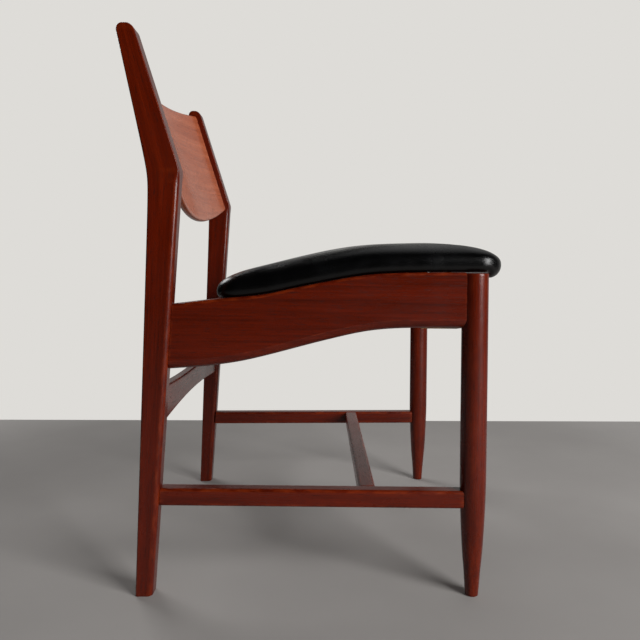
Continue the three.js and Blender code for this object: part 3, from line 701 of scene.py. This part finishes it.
SWELL = 2.2  # how far the stuffed shape is drawn in before it is blown up
SWELL_CAP = 4.2  # the furthest that a point of it may move
SWELL_FRAMES = 20
SWELL_SOFT = 1.5  # how gently it turns from no swelling to some
SWELL_ROUNDS = 14  # how often the swelling is evened out between neighbouring points
SWELL_FADE = 12.0  # it grows over this height above the belt
FREE_BELOW, FREE_WITHIN = 1.0, 2.0  # the cloth is free above this far below the belt, or this near the rim


def seat_cover():
    """The leather: the pad's own surface, drawn in a little and hemmed at the underside, then blown up as
    cloth with its hem held. From a point's swelling d along its normal, s = (d + hypot(d, SWELL_SOFT)) / 2
    and the point moves out by SWELL_CAP * tanh(s / SWELL_CAP), evened over its neighbours and fading to
    nothing down at the belt, so that no point moves in."""
    def crown(x, y):
        return rail_top(y) + pad_top(x, y) - SWELL * smoothstep(inside(x, y), 0, PAD["corner"])

    points, faces = layer(cover_levels(HEM), top=crown)
    cover = finish_mesh("seat_cover", points, faces, crease=180)
    over = points[:, 2] - rail_top(points[:, 1])
    free = (over > PAD["belt"] - FREE_BELOW) | (inside(points[:, 0], points[:, 1]) < FREE_WITHIN)
    outward = np.empty(points.size)
    cover.data.vertices.foreach_get("normal", outward)
    outward = outward.reshape(-1, 3)
    swollen = ((blown_up(cover, ~free) - points) * outward).sum(1)
    swollen = 0.5 * (swollen + np.hypot(swollen, SWELL_SOFT))
    swollen = evened(cover.data, SWELL_CAP * np.tanh(swollen / SWELL_CAP), SWELL_ROUNDS)
    swollen = swollen * smoothstep(over, PAD["belt"], PAD["belt"] + SWELL_FADE)
    points = points + outward * swollen[:, None]
    points = points + leather_folds(points)
    placed = (points - np.array([0, MIDDLE_Y, 0])) * MM
    cover.data.vertices.foreach_set("co", placed.ravel())
    cover.data.update()
    return cover


def evened(mesh, values, rounds):
    """Values at a mesh's points, each moved `rounds` times halfway to the mean of its neighbours'."""
    ends = np.empty(2 * len(mesh.edges), dtype=np.int32)
    mesh.edges.foreach_get("vertices", ends)
    near, far = np.r_[ends[::2], ends[1::2]], np.r_[ends[1::2], ends[::2]]
    shared = np.bincount(near, minlength=len(values))
    for _ in range(rounds):
        values = 0.5 * values + 0.5 * np.bincount(near, values[far], len(values)) / shared
    return values


def blown_up(piece, held):
    """Where cloth simulation takes the points of `piece` when it is inflated with its `held` points
    pinned, in the drawing's millimetres. The piece itself is left as it was."""
    scene = bpy.context.scene
    scene.frame_start, scene.frame_end = 1, SWELL_FRAMES
    dummy = piece.copy()
    dummy.data = piece.data.copy()
    scene.collection.objects.link(dummy)
    pins = dummy.vertex_groups.new(name="pins")
    pins.add(np.flatnonzero(held).tolist(), 1.0, "REPLACE")
    cloth = dummy.modifiers.new("cloth", "CLOTH")
    settings = cloth.settings
    settings.quality = 6
    settings.mass = 0.4
    settings.tension_stiffness = 30
    settings.compression_stiffness = 20
    settings.shear_stiffness = 12
    settings.bending_stiffness = 1.5
    settings.air_damping = 4
    settings.use_pressure = True
    settings.uniform_pressure_force = 4
    settings.vertex_group_mass = "pins"
    settings.effector_weights.gravity = 0
    cloth.collision_settings.use_collision = False
    cloth.point_cache.frame_start, cloth.point_cache.frame_end = 1, SWELL_FRAMES
    for step in range(1, SWELL_FRAMES + 1):
        scene.frame_set(step)
    seen = dummy.evaluated_get(bpy.context.evaluated_depsgraph_get())
    found = np.empty(len(seen.data.vertices) * 3)
    seen.data.vertices.foreach_get("co", found)
    cloth_mesh = dummy.data
    bpy.data.objects.remove(dummy)
    bpy.data.meshes.remove(cloth_mesh)
    scene.frame_set(1)
    return found.reshape(-1, 3) / MM + np.array([0, MIDDLE_Y, 0])


def ripple(place, waves):
    """Unevenness along a line: a sum of sines, each (wavelength, size, phase)."""
    return sum(size * np.sin(2 * math.pi * place / length + phase) for length, size, phase in waves)


GATHER = {"from": 175.0, "wide": 60.0, "deep": 42.0}  # place and size of the pleats at a front corner


def leather_folds(points):
    """Small folds of the leather, as a move for each point. Along the belt short ripples run up and
    down, most at the front; at the front corners deeper pleats are gathered under the edge; and the
    crown has a few slow waves from being sat on."""
    x, y, z = points.T
    deep = inside(x, y)
    over = z - rail_top(y)
    along = y + 0.6 * np.abs(x)
    front = smoothstep(-y, -60, 240)
    belt = np.exp(-(((over - PAD["belt"] - 3) / 5) ** 2)) * (deep < 14)
    ripples = ripple(along, ((13.0, 0.10, 0.4), (21.0, 0.12, 1.9), (34.0, 0.14, 4.0)))
    aside = np.maximum(np.abs(x) - GATHER["from"], 0) / GATHER["wide"]
    corner = np.hypot(aside, (y - PAD["front"]) / GATHER["deep"])
    gathered = smoothstep(-corner, -1.25, -0.45) * smoothstep(-over, -12, -1) * (deep < 30)
    arc_x, arc_y = PAD["half_front"] - PAD["corner"], PAD["front"] + PAD["corner"]
    turned = np.arctan2(y - arc_y, np.abs(x) - arc_x)
    pleats = ripple(turned * PAD["corner"], ((9.0, 0.55, 0.0),))
    crown = ripple(x + 0.4 * y, ((170.0, 0.35, 0.3),)) + ripple(y - 0.3 * x, ((130.0, 0.35, 1.1),))
    crown = crown * smoothstep(deep, 30, 90)
    outward = np.stack([np.sign(x) * (np.abs(x) > 150), -1.0 * (y < -200) + 1.0 * (y > 100), 0 * x], -1)
    outward = outward / np.maximum(np.linalg.norm(outward, axis=1, keepdims=True), 1)
    side = ripples * belt * (0.35 + 0.65 * front) + pleats * gathered
    return outward * side[:, None] + np.stack([0 * x, 0 * x, crown], -1)


def seat_foam():
    """The foam inside the leather: the same crowned shape, drawn in all round, flat on the board."""
    tight = LEATHER + FOAM["slack"]
    floor = 2 * GAP + LEATHER + BOARD_THICK + 2 * GAP

    def crown(x, y):
        return rail_top(y) + np.maximum(pad_top(x, y) - tight - SWELL, FOAM["belt"])

    def shoulder(x, y):
        return np.maximum(pad_top(x, y) - tight - SWELL, foot[-1][1])

    turns = np.linspace(0.35, math.pi / 2, 6)
    foot = [(tight + inset, floor + rise) for inset, rise in FOAM["foot"]]
    levels = foot + [(tight + FOAM["round"] * (1 - math.cos(a)), shoulder) for a in turns]
    points, faces = layer(levels, top=crown, bottom=over_rails(floor))
    return finish_mesh("seat_padding", points, faces)


def sheet_layer(name, inset, low, high, rounding):
    """A sheet of even thickness bent over the rails' curve, with eased edges."""
    levels = [
        (inset + rounding, low), (inset, low + rounding),
        (inset, high - rounding), (inset + rounding, high),
    ]
    points, faces = layer(levels, top=over_rails(high), bottom=over_rails(low))
    return finish_mesh(name, points, faces)


# ------------------------------------------------------------------ finishes


def linear(colour):
    """Linear RGBA of an sRGB hex colour, such as "#7a2a12"."""
    share = np.array([int(colour[i : i + 2], 16) for i in (1, 3, 5)]) / 255
    value = np.where(share <= 0.04045, share / 12.92, ((share + 0.055) / 1.055) ** 2.4)
    return (*value.tolist(), 1.0)


def add(tree, kind, inputs=None, stops=None, **settings):
    """Adds a node to a finish. `inputs` are its sockets by name or number, each a value, a node (its
    first output) or a (node, output) pair; `stops` are a colour ramp's, as (place, colour) pairs."""
    made = tree.nodes.new("ShaderNode" + kind)
    for key, value in settings.items():
        setattr(made, key, value)
    if stops:
        ramp = made.color_ramp.elements
        while len(ramp) < len(stops):
            ramp.new(0.5)
        for element, (place, colour) in zip(ramp, stops):
            element.position = place
            element.color = linear(colour)
    for key, value in (inputs or {}).items():
        if isinstance(value, tuple) and isinstance(value[0], bpy.types.Node):
            tree.links.new(value[0].outputs[value[1]], made.inputs[key])
        elif isinstance(value, bpy.types.Node):
            tree.links.new(value.outputs[0], made.inputs[key])
        else:
            made.inputs[key].default_value = value
    return made


def ranged(tree, value, before, after):
    """A value that goes evenly from the first of `after` to the second as `value` goes from the first of
    `before` to the second, and stays there outside."""
    return add(tree, "MapRange", {
        "Value": value, "From Min": before[0], "From Max": before[1],
        "To Min": after[0], "To Max": after[1],
    })


def finish(name):
    """A new material with an empty node tree and its output and main shader."""
    material = bpy.data.materials.new(name)
    material.use_nodes = True
    tree = material.node_tree
    tree.nodes.clear()
    shader = add(tree, "BsdfPrincipled")
    add(tree, "OutputMaterial", {"Surface": shader})
    return material, tree, shader


def per_mm(size):
    """Scale of a pattern whose features are `size` millimetres apart."""
    return 1 / (size * MM)


WAVE = math.pi / 10  # a wave pattern's bands are this far apart, in metres, at a scale of 1

RED_BROWN = ("#3a0a01", "#4c1001", "#5a1402", "#681b03")  # dark streak, ground, ground, light streak
# Painted light: the backrest's tones are a lighter, more orange copy of RED_BROWN, standing in for the
# strong front light on its face.
LIT_PANEL_TONES = ("#98482a", "#a85434", "#b5603e", "#c26c49")  # the backrest's paler face


def lacquered_wood(name, offset, tilt=0.0, tones=RED_BROWN, coat=0.08):
    """Solid tropical hardwood, sawn straight along each piece, stained red-brown and lacquered. The eye
    sees dark mineral streaks in an orange-red ground, fine open pores as short dashes, a soft gloss
    with grey reflections at a glance, and edges rubbed a little lighter. The grain follows the piece:
    the "grain" attribute is across, through and along it. Pores are drawn about three times too wide,
    to show at all. `offset` moves the pattern in the tree, so that no two pieces match."""
    material, tree, shader = finish(name)
    fibre = add(tree, "Attribute", attribute_name="grain")
    worn = add(tree, "Attribute", attribute_name="wear")
    place = add(tree, "Mapping", {
        "Vector": (fibre, "Vector"), "Location": offset, "Rotation": (0, 0, tilt),
    })

    def stretched(across, along, **inputs):
        scaled = add(tree, "Mapping", {
            "Vector": place, "Scale": (per_mm(across), per_mm(across), per_mm(along)),
        })
        named = {key.replace("_", " "): value for key, value in inputs.items()}
        return add(tree, "TexNoise", {"Vector": scaled, "Scale": 1.0, **named})

    drift = stretched(40, 420, Detail=2.0, Roughness=0.5, Distortion=0.3)
    streaks = stretched(5.5, 260, Detail=4.0, Roughness=0.62, Distortion=0.35)
    fibres = stretched(1.3, 60, Detail=3.0, Roughness=0.6)
    pores = stretched(0.85, 13, Detail=1.0, Roughness=0.4)
    ground = add(tree, "ValToRGB", {"Fac": streaks}, stops=list(zip((0.30, 0.42, 0.56, 0.74), tones)))
    cast = add(tree, "ValToRGB", {"Fac": drift}, stops=list(zip((0.30, 0.52, 0.72), tones[1:])))
    # A colour mix takes its colours at sockets 6 and 7 and gives the result at output 2.
    mixed = add(tree, "Mix", {0: 0.38, 6: ground, 7: cast}, data_type="RGBA")
    threads = ranged(tree, fibres, (0.3, 0.7), (0.80, 1.18))
    open_pores = ranged(tree, pores, (0.60, 0.70), (1.0, 0.55))
    dulled = add(tree, "Math", {0: threads, 1: open_pores}, operation="MULTIPLY")
    toned = add(tree, "VectorMath", {0: (mixed, 2), "Scale": dulled}, operation="SCALE")
    rub = stretched(9, 30, Detail=3.0, Roughness=0.7)
    rubbed = ranged(tree, rub, (0.42, 0.66), (0.0, 0.5))
    bare = add(tree, "Math", {0: (worn, "Fac"), 1: rubbed}, operation="MULTIPLY")
    colour = add(tree, "Mix", {0: bare, 6: toned, 7: linear("#8f3410")}, data_type="RGBA")
    tree.links.new(colour.outputs[2], shader.inputs["Base Color"])
    handled = stretched(55, 90, Detail=3.0, Roughness=0.6)
    gloss = ranged(tree, handled, (0.3, 0.7), (0.22, 0.32))
    dull = ranged(tree, pores, (0.58, 0.70), (0.0, 0.14))
    rough = add(tree, "Math", {0: gloss, 1: dull}, operation="ADD")
    tree.links.new(rough.outputs[0], shader.inputs["Roughness"])
    relief = add(tree, "Math", {0: open_pores, 1: fibres}, operation="ADD")
    bump = add(tree, "Bump", {"Strength": 0.35, "Distance": 0.10 * MM, "Height": relief})
    tree.links.new(bump.outputs[0], shader.inputs["Normal"])
    shader.inputs["IOR"].default_value = 1.5
    shader.inputs["Specular IOR Level"].default_value = 0.3
    shader.inputs["Coat Weight"].default_value = coat
    shader.inputs["Coat Roughness"].default_value = 0.12
    shader.inputs["Coat IOR"].default_value = 1.5
    return material


def black_leather():
    """Chrome-tanned cowhide, pigmented black and finished with a soft gloss. The eye sees a fine pebble
    grain of closed cells, stretched smooth over the crown, faint creases where it bends, and grey
    grazing light. The cells are drawn at 1.6 mm, about twice their real size, to show at all."""
    material, tree, shader = finish("black_leather")
    where = add(tree, "TexCoord")
    bend = add(tree, "TexNoise", {"Vector": (where, "Object"), "Scale": per_mm(9), "Detail": 2.0})
    shifted = add(tree, "VectorMath", {0: (bend, "Color"), 1: (0.5, 0.5, 0.5)}, operation="SUBTRACT")
    shift = add(tree, "VectorMath", {0: shifted, "Scale": 1.4 * MM}, operation="SCALE")
    warped = add(tree, "VectorMath", {0: (where, "Object"), 1: shift}, operation="ADD")
    cells = add(tree, "TexVoronoi", {"Vector": warped, "Scale": per_mm(1.6)}, feature="DISTANCE_TO_EDGE")
    plump = ranged(tree, cells, (0.0, 0.22), (0.0, 1.0))
    hide = add(tree, "TexNoise", {
        "Vector": (where, "Object"), "Scale": per_mm(38), "Detail": 4.0, "Roughness": 0.6,
    })
    creases = add(tree, "TexNoise", {
        "Vector": (where, "Object"), "Scale": per_mm(16), "Detail": 3.0, "Roughness": 0.55,
        "Distortion": 0.4,
    })
    colour = add(tree, "ValToRGB", {"Fac": hide}, stops=((0.3, "#020202"), (0.7, "#050506")))
    tree.links.new(colour.outputs["Color"], shader.inputs["Base Color"])
    worn = ranged(tree, hide, (0.3, 0.7), (0.20, 0.30))
    tree.links.new(worn.outputs[0], shader.inputs["Roughness"])
    coarse = add(tree, "Bump", {"Strength": 0.25, "Distance": 0.4 * MM, "Height": creases})
    fine = add(tree, "Bump", {"Strength": 0.45, "Distance": 0.1 * MM, "Height": plump, "Normal": coarse})
    tree.links.new(fine.outputs[0], shader.inputs["Normal"])
    shader.inputs["IOR"].default_value = 1.5
    shader.inputs["Specular IOR Level"].default_value = 0.3
    return material


def bare_wood(name, pale, dark, along, ring=3.2, flecks=False):
    """Planed hardwood without a finish: rings as soft lines along the piece, fibre, a matt face, and in
    beech short darker ray flecks. `along` is the piece's axis (0, 1 or 2)."""
    material, tree, shader = finish(name)
    where = add(tree, "TexCoord")
    lengths = [per_mm(ring)] * 3
    lengths[along] = per_mm(ring * 26)
    scaled = add(tree, "Mapping", {"Vector": (where, "Object"), "Scale": lengths})
    rings = add(tree, "TexNoise", {
        "Vector": scaled, "Scale": 1.0, "Detail": 4.0, "Roughness": 0.6, "Distortion": 0.3,
    })
    fine = add(tree, "TexNoise", {"Vector": scaled, "Scale": 5.0, "Detail": 3.0, "Roughness": 0.6})
    colour = add(tree, "ValToRGB", {"Fac": rings}, stops=((0.32, dark), (0.66, pale)))
    start, low, high = (0.58, 1.0, 0.78) if flecks else (0.2, 0.88, 1.08)
    spots = ranged(tree, fine, (start, 0.7), (low, high))
    toned = add(tree, "VectorMath", {0: (colour, "Color"), "Scale": spots}, operation="SCALE")
    tree.links.new(toned.outputs[0], shader.inputs["Base Color"])
    rough = ranged(tree, rings, (0.3, 0.7), (0.62, 0.78))
    tree.links.new(rough.outputs[0], shader.inputs["Roughness"])
    bump = add(tree, "Bump", {"Strength": 0.4, "Distance": 0.12 * MM, "Height": fine})
    tree.links.new(bump.outputs[0], shader.inputs["Normal"])
    return material


def plywood():
    """Bent birch plywood: a pale sanded face with faint fibre front to back, and edges where six plies
    of 1.5 mm turn light and dark by turns."""
    material, tree, shader = finish("birch_plywood")
    where = add(tree, "TexCoord")
    scaled = add(tree, "Mapping", {
        "Vector": (where, "Object"), "Scale": (per_mm(4), per_mm(90), per_mm(4)),
    })
    fibre = add(tree, "TexNoise", {"Vector": scaled, "Scale": 1.0, "Detail": 5.0, "Roughness": 0.6})
    plies = add(tree, "TexWave", {
        "Vector": (where, "Object"), "Scale": WAVE * per_mm(3.0), "Distortion": 0.6, "Detail": 2.0,
    }, bands_direction="Z")
    geometry = add(tree, "NewGeometry")
    facing = add(tree, "SeparateXYZ", {"Vector": (geometry, "Normal")})
    flat = add(tree, "Math", {0: (facing, "Z")}, operation="ABSOLUTE")
    edge = ranged(tree, flat, (0.5, 0.8), (1.0, 0.0))
    face = add(tree, "ValToRGB", {"Fac": fibre}, stops=((0.3, "#b98f5e"), (0.7, "#d8b685")))
    layers = add(tree, "ValToRGB", {"Fac": plies}, stops=((0.35, "#8a6238"), (0.65, "#d3ae7c")))
    colour = add(tree, "Mix", {0: edge, 6: face, 7: layers}, data_type="RGBA")
    tree.links.new(colour.outputs[2], shader.inputs["Base Color"])
    rough = ranged(tree, fibre, (0.3, 0.7), (0.6, 0.76))
    tree.links.new(rough.outputs[0], shader.inputs["Roughness"])
    bump = add(tree, "Bump", {"Strength": 0.3, "Distance": 0.1 * MM, "Height": fibre})
    tree.links.new(bump.outputs[0], shader.inputs["Normal"])
    return material


def cream_foam():
    """Open-celled polyurethane foam, yellowed with age: round cells about a millimetre across."""
    material, tree, shader = finish("cream_foam")
    where = add(tree, "TexCoord")
    cells = add(tree, "TexVoronoi", {"Vector": (where, "Object"), "Scale": per_mm(1.4)})
    patches = add(tree, "TexNoise", {"Vector": (where, "Object"), "Scale": per_mm(60), "Detail": 3.0})
    colour = add(tree, "ValToRGB", {"Fac": patches}, stops=((0.3, "#c9b070"), (0.7, "#dccb98")))
    tree.links.new(colour.outputs["Color"], shader.inputs["Base Color"])
    rough = ranged(tree, cells, (0.0, 0.8), (0.98, 0.86))
    tree.links.new(rough.outputs[0], shader.inputs["Roughness"])
    bump = add(tree, "Bump", {"Strength": 0.8, "Distance": 0.4 * MM, "Height": cells})
    tree.links.new(bump.outputs[0], shader.inputs["Normal"])
    return material


def lining_cloth():
    """Plain-woven black cotton lining, dull and a little dusty, with threads 0.6 mm apart drawn at
    1.2 mm so that the weave shows."""
    material, tree, shader = finish("black_lining")
    where = add(tree, "TexCoord")
    waves = [
        add(tree, "TexWave", {
            "Vector": (where, "Object"), "Scale": WAVE * per_mm(1.2), "Distortion": 0.3, "Detail": 1.0,
        }, bands_direction=axis)
        for axis in ("X", "Y")
    ]
    weave = add(tree, "Math", {0: (waves[0], "Fac"), 1: (waves[1], "Fac")}, operation="MULTIPLY")
    dust = add(tree, "TexNoise", {
        "Vector": (where, "Object"), "Scale": per_mm(70), "Detail": 5.0, "Roughness": 0.65,
    })
    colour = add(tree, "ValToRGB", {"Fac": dust}, stops=((0.32, "#131315"), (0.72, "#2b2a2b")))
    thread = ranged(tree, weave, (0.0, 1.0), (0.6, 1.25))
    toned = add(tree, "VectorMath", {0: (colour, "Color"), "Scale": thread}, operation="SCALE")
    tree.links.new(toned.outputs[0], shader.inputs["Base Color"])
    rough = ranged(tree, dust, (0.0, 1.0), (0.85, 1.0))
    tree.links.new(rough.outputs[0], shader.inputs["Roughness"])
    bump = add(tree, "Bump", {"Strength": 0.6, "Distance": 0.2 * MM, "Height": weave})
    tree.links.new(bump.outputs[0], shader.inputs["Normal"])
    shader.inputs["Sheen Weight"].default_value = 0.15
    return material


def zinc_steel():
    """Zinc-plated steel screws, passivated: a pale yellow-grey metal, spotted and dulled with age."""
    material, tree, shader = finish("zinc_plated_steel")
    where = add(tree, "TexCoord")
    spots = add(tree, "TexNoise", {
        "Vector": (where, "Object"), "Scale": per_mm(1.5), "Detail": 4.0, "Roughness": 0.7,
    })
    colour = add(tree, "ValToRGB", {"Fac": spots}, stops=((0.3, "#8f8368"), (0.6, "#bdb49c")))
    tree.links.new(colour.outputs["Color"], shader.inputs["Base Color"])
    rough = ranged(tree, spots, (0.3, 0.7), (0.48, 0.28))
    tree.links.new(rough.outputs[0], shader.inputs["Roughness"])
    bump = add(tree, "Bump", {"Strength": 0.3, "Distance": 0.05 * MM, "Height": spots})
    tree.links.new(bump.outputs[0], shader.inputs["Normal"])
    shader.inputs["Metallic"].default_value = 1.0
    return material


GLOW, GLOW_FROM, GLOW_TO = 0.42, 0.9, 3.2  # strength, and the distances, in metres, that it grows over


def studio_floor():
    """Pale matt studio floor, very slightly uneven in tone. Further off, where the lamps round the chair
    don't reach, it glows a little, as a studio's own lamps would light it."""
    material, tree, shader = finish("studio_floor")
    where = add(tree, "TexCoord")
    tone = add(tree, "TexNoise", {"Vector": (where, "Object"), "Scale": 3.0, "Detail": 4.0})
    colour = add(tree, "ValToRGB", {"Fac": tone}, stops=((0.3, "#9c9895"), (0.7, "#a4a09d")))
    tree.links.new(colour.outputs["Color"], shader.inputs["Base Color"])
    shader.inputs["Roughness"].default_value = 0.9
    away = add(tree, "VectorMath", {0: (where, "Object")}, operation="LENGTH")
    glow = ranged(tree, (away, "Value"), (GLOW_FROM, GLOW_TO), (0.0, GLOW))
    seen = add(tree, "Math", {0: glow, 1: (add(tree, "LightPath"), "Is Camera Ray")}, operation="MULTIPLY")
    tree.links.new(seen.outputs[0], shader.inputs["Emission Strength"])
    shader.inputs["Emission Color"].default_value = linear("#fffdfa")
    return material


# ------------------------------------------------------------------ the chair, piece by piece


def fit(piece, material, slot, *nodes):
    """Gives a piece its finish, sets it on the chair and hides the nodes it stands for."""
    piece.data.materials.clear()
    piece.data.materials.append(material)
    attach(piece, "root")
    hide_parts(*nodes)
    return piece


for count, (side, sign) in enumerate(SIDES):
    there = count * 0.37
    for maker, node, offset, tilt in (
        (rear_post, "rear_post", (0.11, 0.52, 0.8), 0.3),
        (front_leg, "front_leg", (0.71, 0.13, 0.2), 0.9),
        (side_rail, "side_rail", (0.33, 0.91, 0.5), 0.1),
        (side_stretcher, "side_stretcher", (0.57, 0.29, 0.4), 0.6),
    ):
        wood = lacquered_wood(f"{side}_{node}_wood", tuple(c + there for c in offset), tilt)
        fit(maker(side, sign), wood, "polished_wood", f"{node}_{side}")

for maker, node, wood in (
    (cross_stretcher, "cross_stretcher", lacquered_wood("middle_stretcher_wood", (0.2, 0.4, 0.1), 0.5)),
    (front_cross_rail, "front_rail", lacquered_wood("front_rail_wood", (0.9, 0.1, 0.6), 0.2)),
    (rear_cross_rail, "rear_rail", lacquered_wood("rear_rail_wood", (0.4, 0.8, 0.3), 0.4)),
    # The backrest takes the lighter tones, which are painted light for the light on its front face.
    (backrest, "backrest_panel", lacquered_wood("backrest_wood", (0.6, 0.2, 0.9), 0.0, LIT_PANEL_TONES, 0.25)),
    (seat_cross_rail, "seat_rail", lacquered_wood("seat_rail_wood", (0.1, 0.7, 0.2), 0.7)),
):
    fit(maker(), wood, "polished_wood", node)

cover = fit(seat_cover(), black_leather(), "leather", "seat_cover")
smooth = cover.modifiers.new("smooth", "SUBSURF")
smooth.levels = smooth.render_levels = 1
skin = cover.modifiers.new("thickness", "SOLIDIFY")
skin.thickness = LEATHER * MM
skin.offset = -1

padding = fit(seat_foam(), cream_foam(), "foam", "seat_foam")

board_low = GAP + LEATHER + GAP
board = sheet_layer("bent_board", BOARD_INSET, board_low, board_low + BOARD_THICK, 0.8)
fit(board, plywood(), "plywood", "seat_board")

cloth_inset = HEM + 2
cloth = sheet_layer("lining", cloth_inset, GAP, GAP + DUST_CLOTH, 0.3)
fit(cloth, lining_cloth(), "dust_cloth", "dust_cloth")
cloth_y = np.linspace(PAD["front"] + cloth_inset, PAD["back"] - cloth_inset, 200)
cloth_length = np.hypot(np.diff(cloth_y), np.diff(rail_top(cloth_y))).sum() * MM

carried = {
    "dowel": bare_wood("beech_dowels", "#d3ac7c", "#b98a58", 0, 2.0, flecks=True),
    "screw": zinc_steel(),
    "corner_block": bare_wood("corner_block_beech", "#c9a374", "#a67d50", 2),
}
for name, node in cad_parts.items():
    kind = next((key for key in carried if key in name), None)
    if kind:
        node.data.materials.clear()
        node.data.materials.append(carried[kind])

# ------------------------------------------------------------------ studio

FLOOR_END, FLOOR_SIDE = 0.75, 7.0  # the floor meets the wall beyond the chair, and runs far round it
floor_sheet = bpy.data.meshes.new("studio_floor")
floor_sheet.from_pydata(
    [(-FLOOR_SIDE, -FLOOR_SIDE, 0), (FLOOR_END, -FLOOR_SIDE, 0), (FLOOR_END, FLOOR_SIDE, 0),
     (-FLOOR_SIDE, FLOOR_SIDE, 0)], [], [(0, 1, 2, 3)],
)
floor = bpy.data.objects.new("studio_floor", floor_sheet)
bpy.context.scene.collection.objects.link(floor)
floor.data.materials.append(studio_floor())

WALL_LIGHT, ROOM_LIGHT = 0.55, 0.012  # brightness of the pale far wall and of the dim room
WALL_WAY = (0.92, -0.39, 0.0)  # towards the wall's middle: far side (+X), a little to the front
WALL_EDGE = (0.5, 0.9)  # how far a direction agrees with that where the wall's light starts and is full

# Seen straight on, the studio is the same pale tone all round. Its light comes from the far wall.
world = bpy.data.worlds.new("studio")
bpy.context.scene.world = world
world.use_nodes = True
studio = world.node_tree
backdrop = studio.nodes["Background"]
backdrop.inputs["Color"].default_value = linear("#dedcd8")
facing_wall = add(studio, "VectorMath", {
    0: (add(studio, "TexCoord"), "Generated"), 1: WALL_WAY,
}, operation="DOT_PRODUCT")
wall = ranged(studio, (facing_wall, "Value"), WALL_EDGE, (ROOM_LIGHT, WALL_LIGHT))
seen = add(studio, "Mix", {0: (add(studio, "LightPath"), "Is Camera Ray"), 2: wall, 3: 1.0})
studio.links.new(seen.outputs[0], backdrop.inputs["Strength"])


def soft_light(name, at, toward, size, power, tint="#ffffff"):
    """A large rectangular light at a point, turned towards another. Sizes and places in metres."""
    lamp = bpy.data.lights.new(name, "AREA")
    lamp.shape = "RECTANGLE"
    lamp.size, lamp.size_y = size
    lamp.energy = power
    lamp.color = linear(tint)[:3]
    held = bpy.data.objects.new(name, lamp)
    held.location = at
    held.visible_camera = False
    held.rotation_euler = (Vector(toward) - Vector(at)).to_track_quat("-Z", "Y").to_euler()
    bpy.context.scene.collection.objects.link(held)


soft_light("window", (-1.85, -1.9, 1.2), (0, 0, 0.45), (1.2, 1.4), 84)
soft_light("overhead", (0.6, -0.6, 2.4), (0, 0, 0.5), (1.6, 1.6), 5)
soft_light("fill", (2.0, 1.9, 2.3), (0, 0, 0.45), (1.6, 1.6), 42)

# The camera stands level with the seat, at the chair's right side, and looks across it.
CAMERA_AT = Vector((-1.0879, -0.022, 0.4445))
CAMERA_DOWN, CAMERA_AHEAD, CAMERA_ROLL = math.radians(1.5), math.radians(0.85), 0.0065
LENS = 35.33  # on a 36 mm wide sensor
SHIFT_X, SHIFT_Y = -0.0136, -0.0531

cos_down, sin_down = math.cos(CAMERA_DOWN), math.sin(CAMERA_DOWN)
cos_ahead, sin_ahead = math.cos(CAMERA_AHEAD), math.sin(CAMERA_AHEAD)
sight = Vector((cos_down * cos_ahead, -cos_down * sin_ahead, -sin_down))
level_right = Vector((-sin_ahead, -cos_ahead, 0))
level_up = Vector((sin_down * cos_ahead, -sin_down * sin_ahead, cos_down))
right = math.cos(CAMERA_ROLL) * level_right + math.sin(CAMERA_ROLL) * level_up
up = -math.sin(CAMERA_ROLL) * level_right + math.cos(CAMERA_ROLL) * level_up

lens = bpy.data.cameras.new("camera")
lens.sensor_width = 36
lens.lens = LENS
lens.shift_x, lens.shift_y = SHIFT_X, SHIFT_Y
lens.clip_start, lens.clip_end = 0.05, 30
camera = bpy.data.objects.new("camera", lens)
camera.matrix_world = Matrix.Translation(CAMERA_AT) @ Matrix((right, up, -sight)).transposed().to_4x4()
bpy.context.scene.collection.objects.link(camera)
bpy.context.scene.camera = camera
bpy.context.scene.view_settings.view_transform = "Standard"
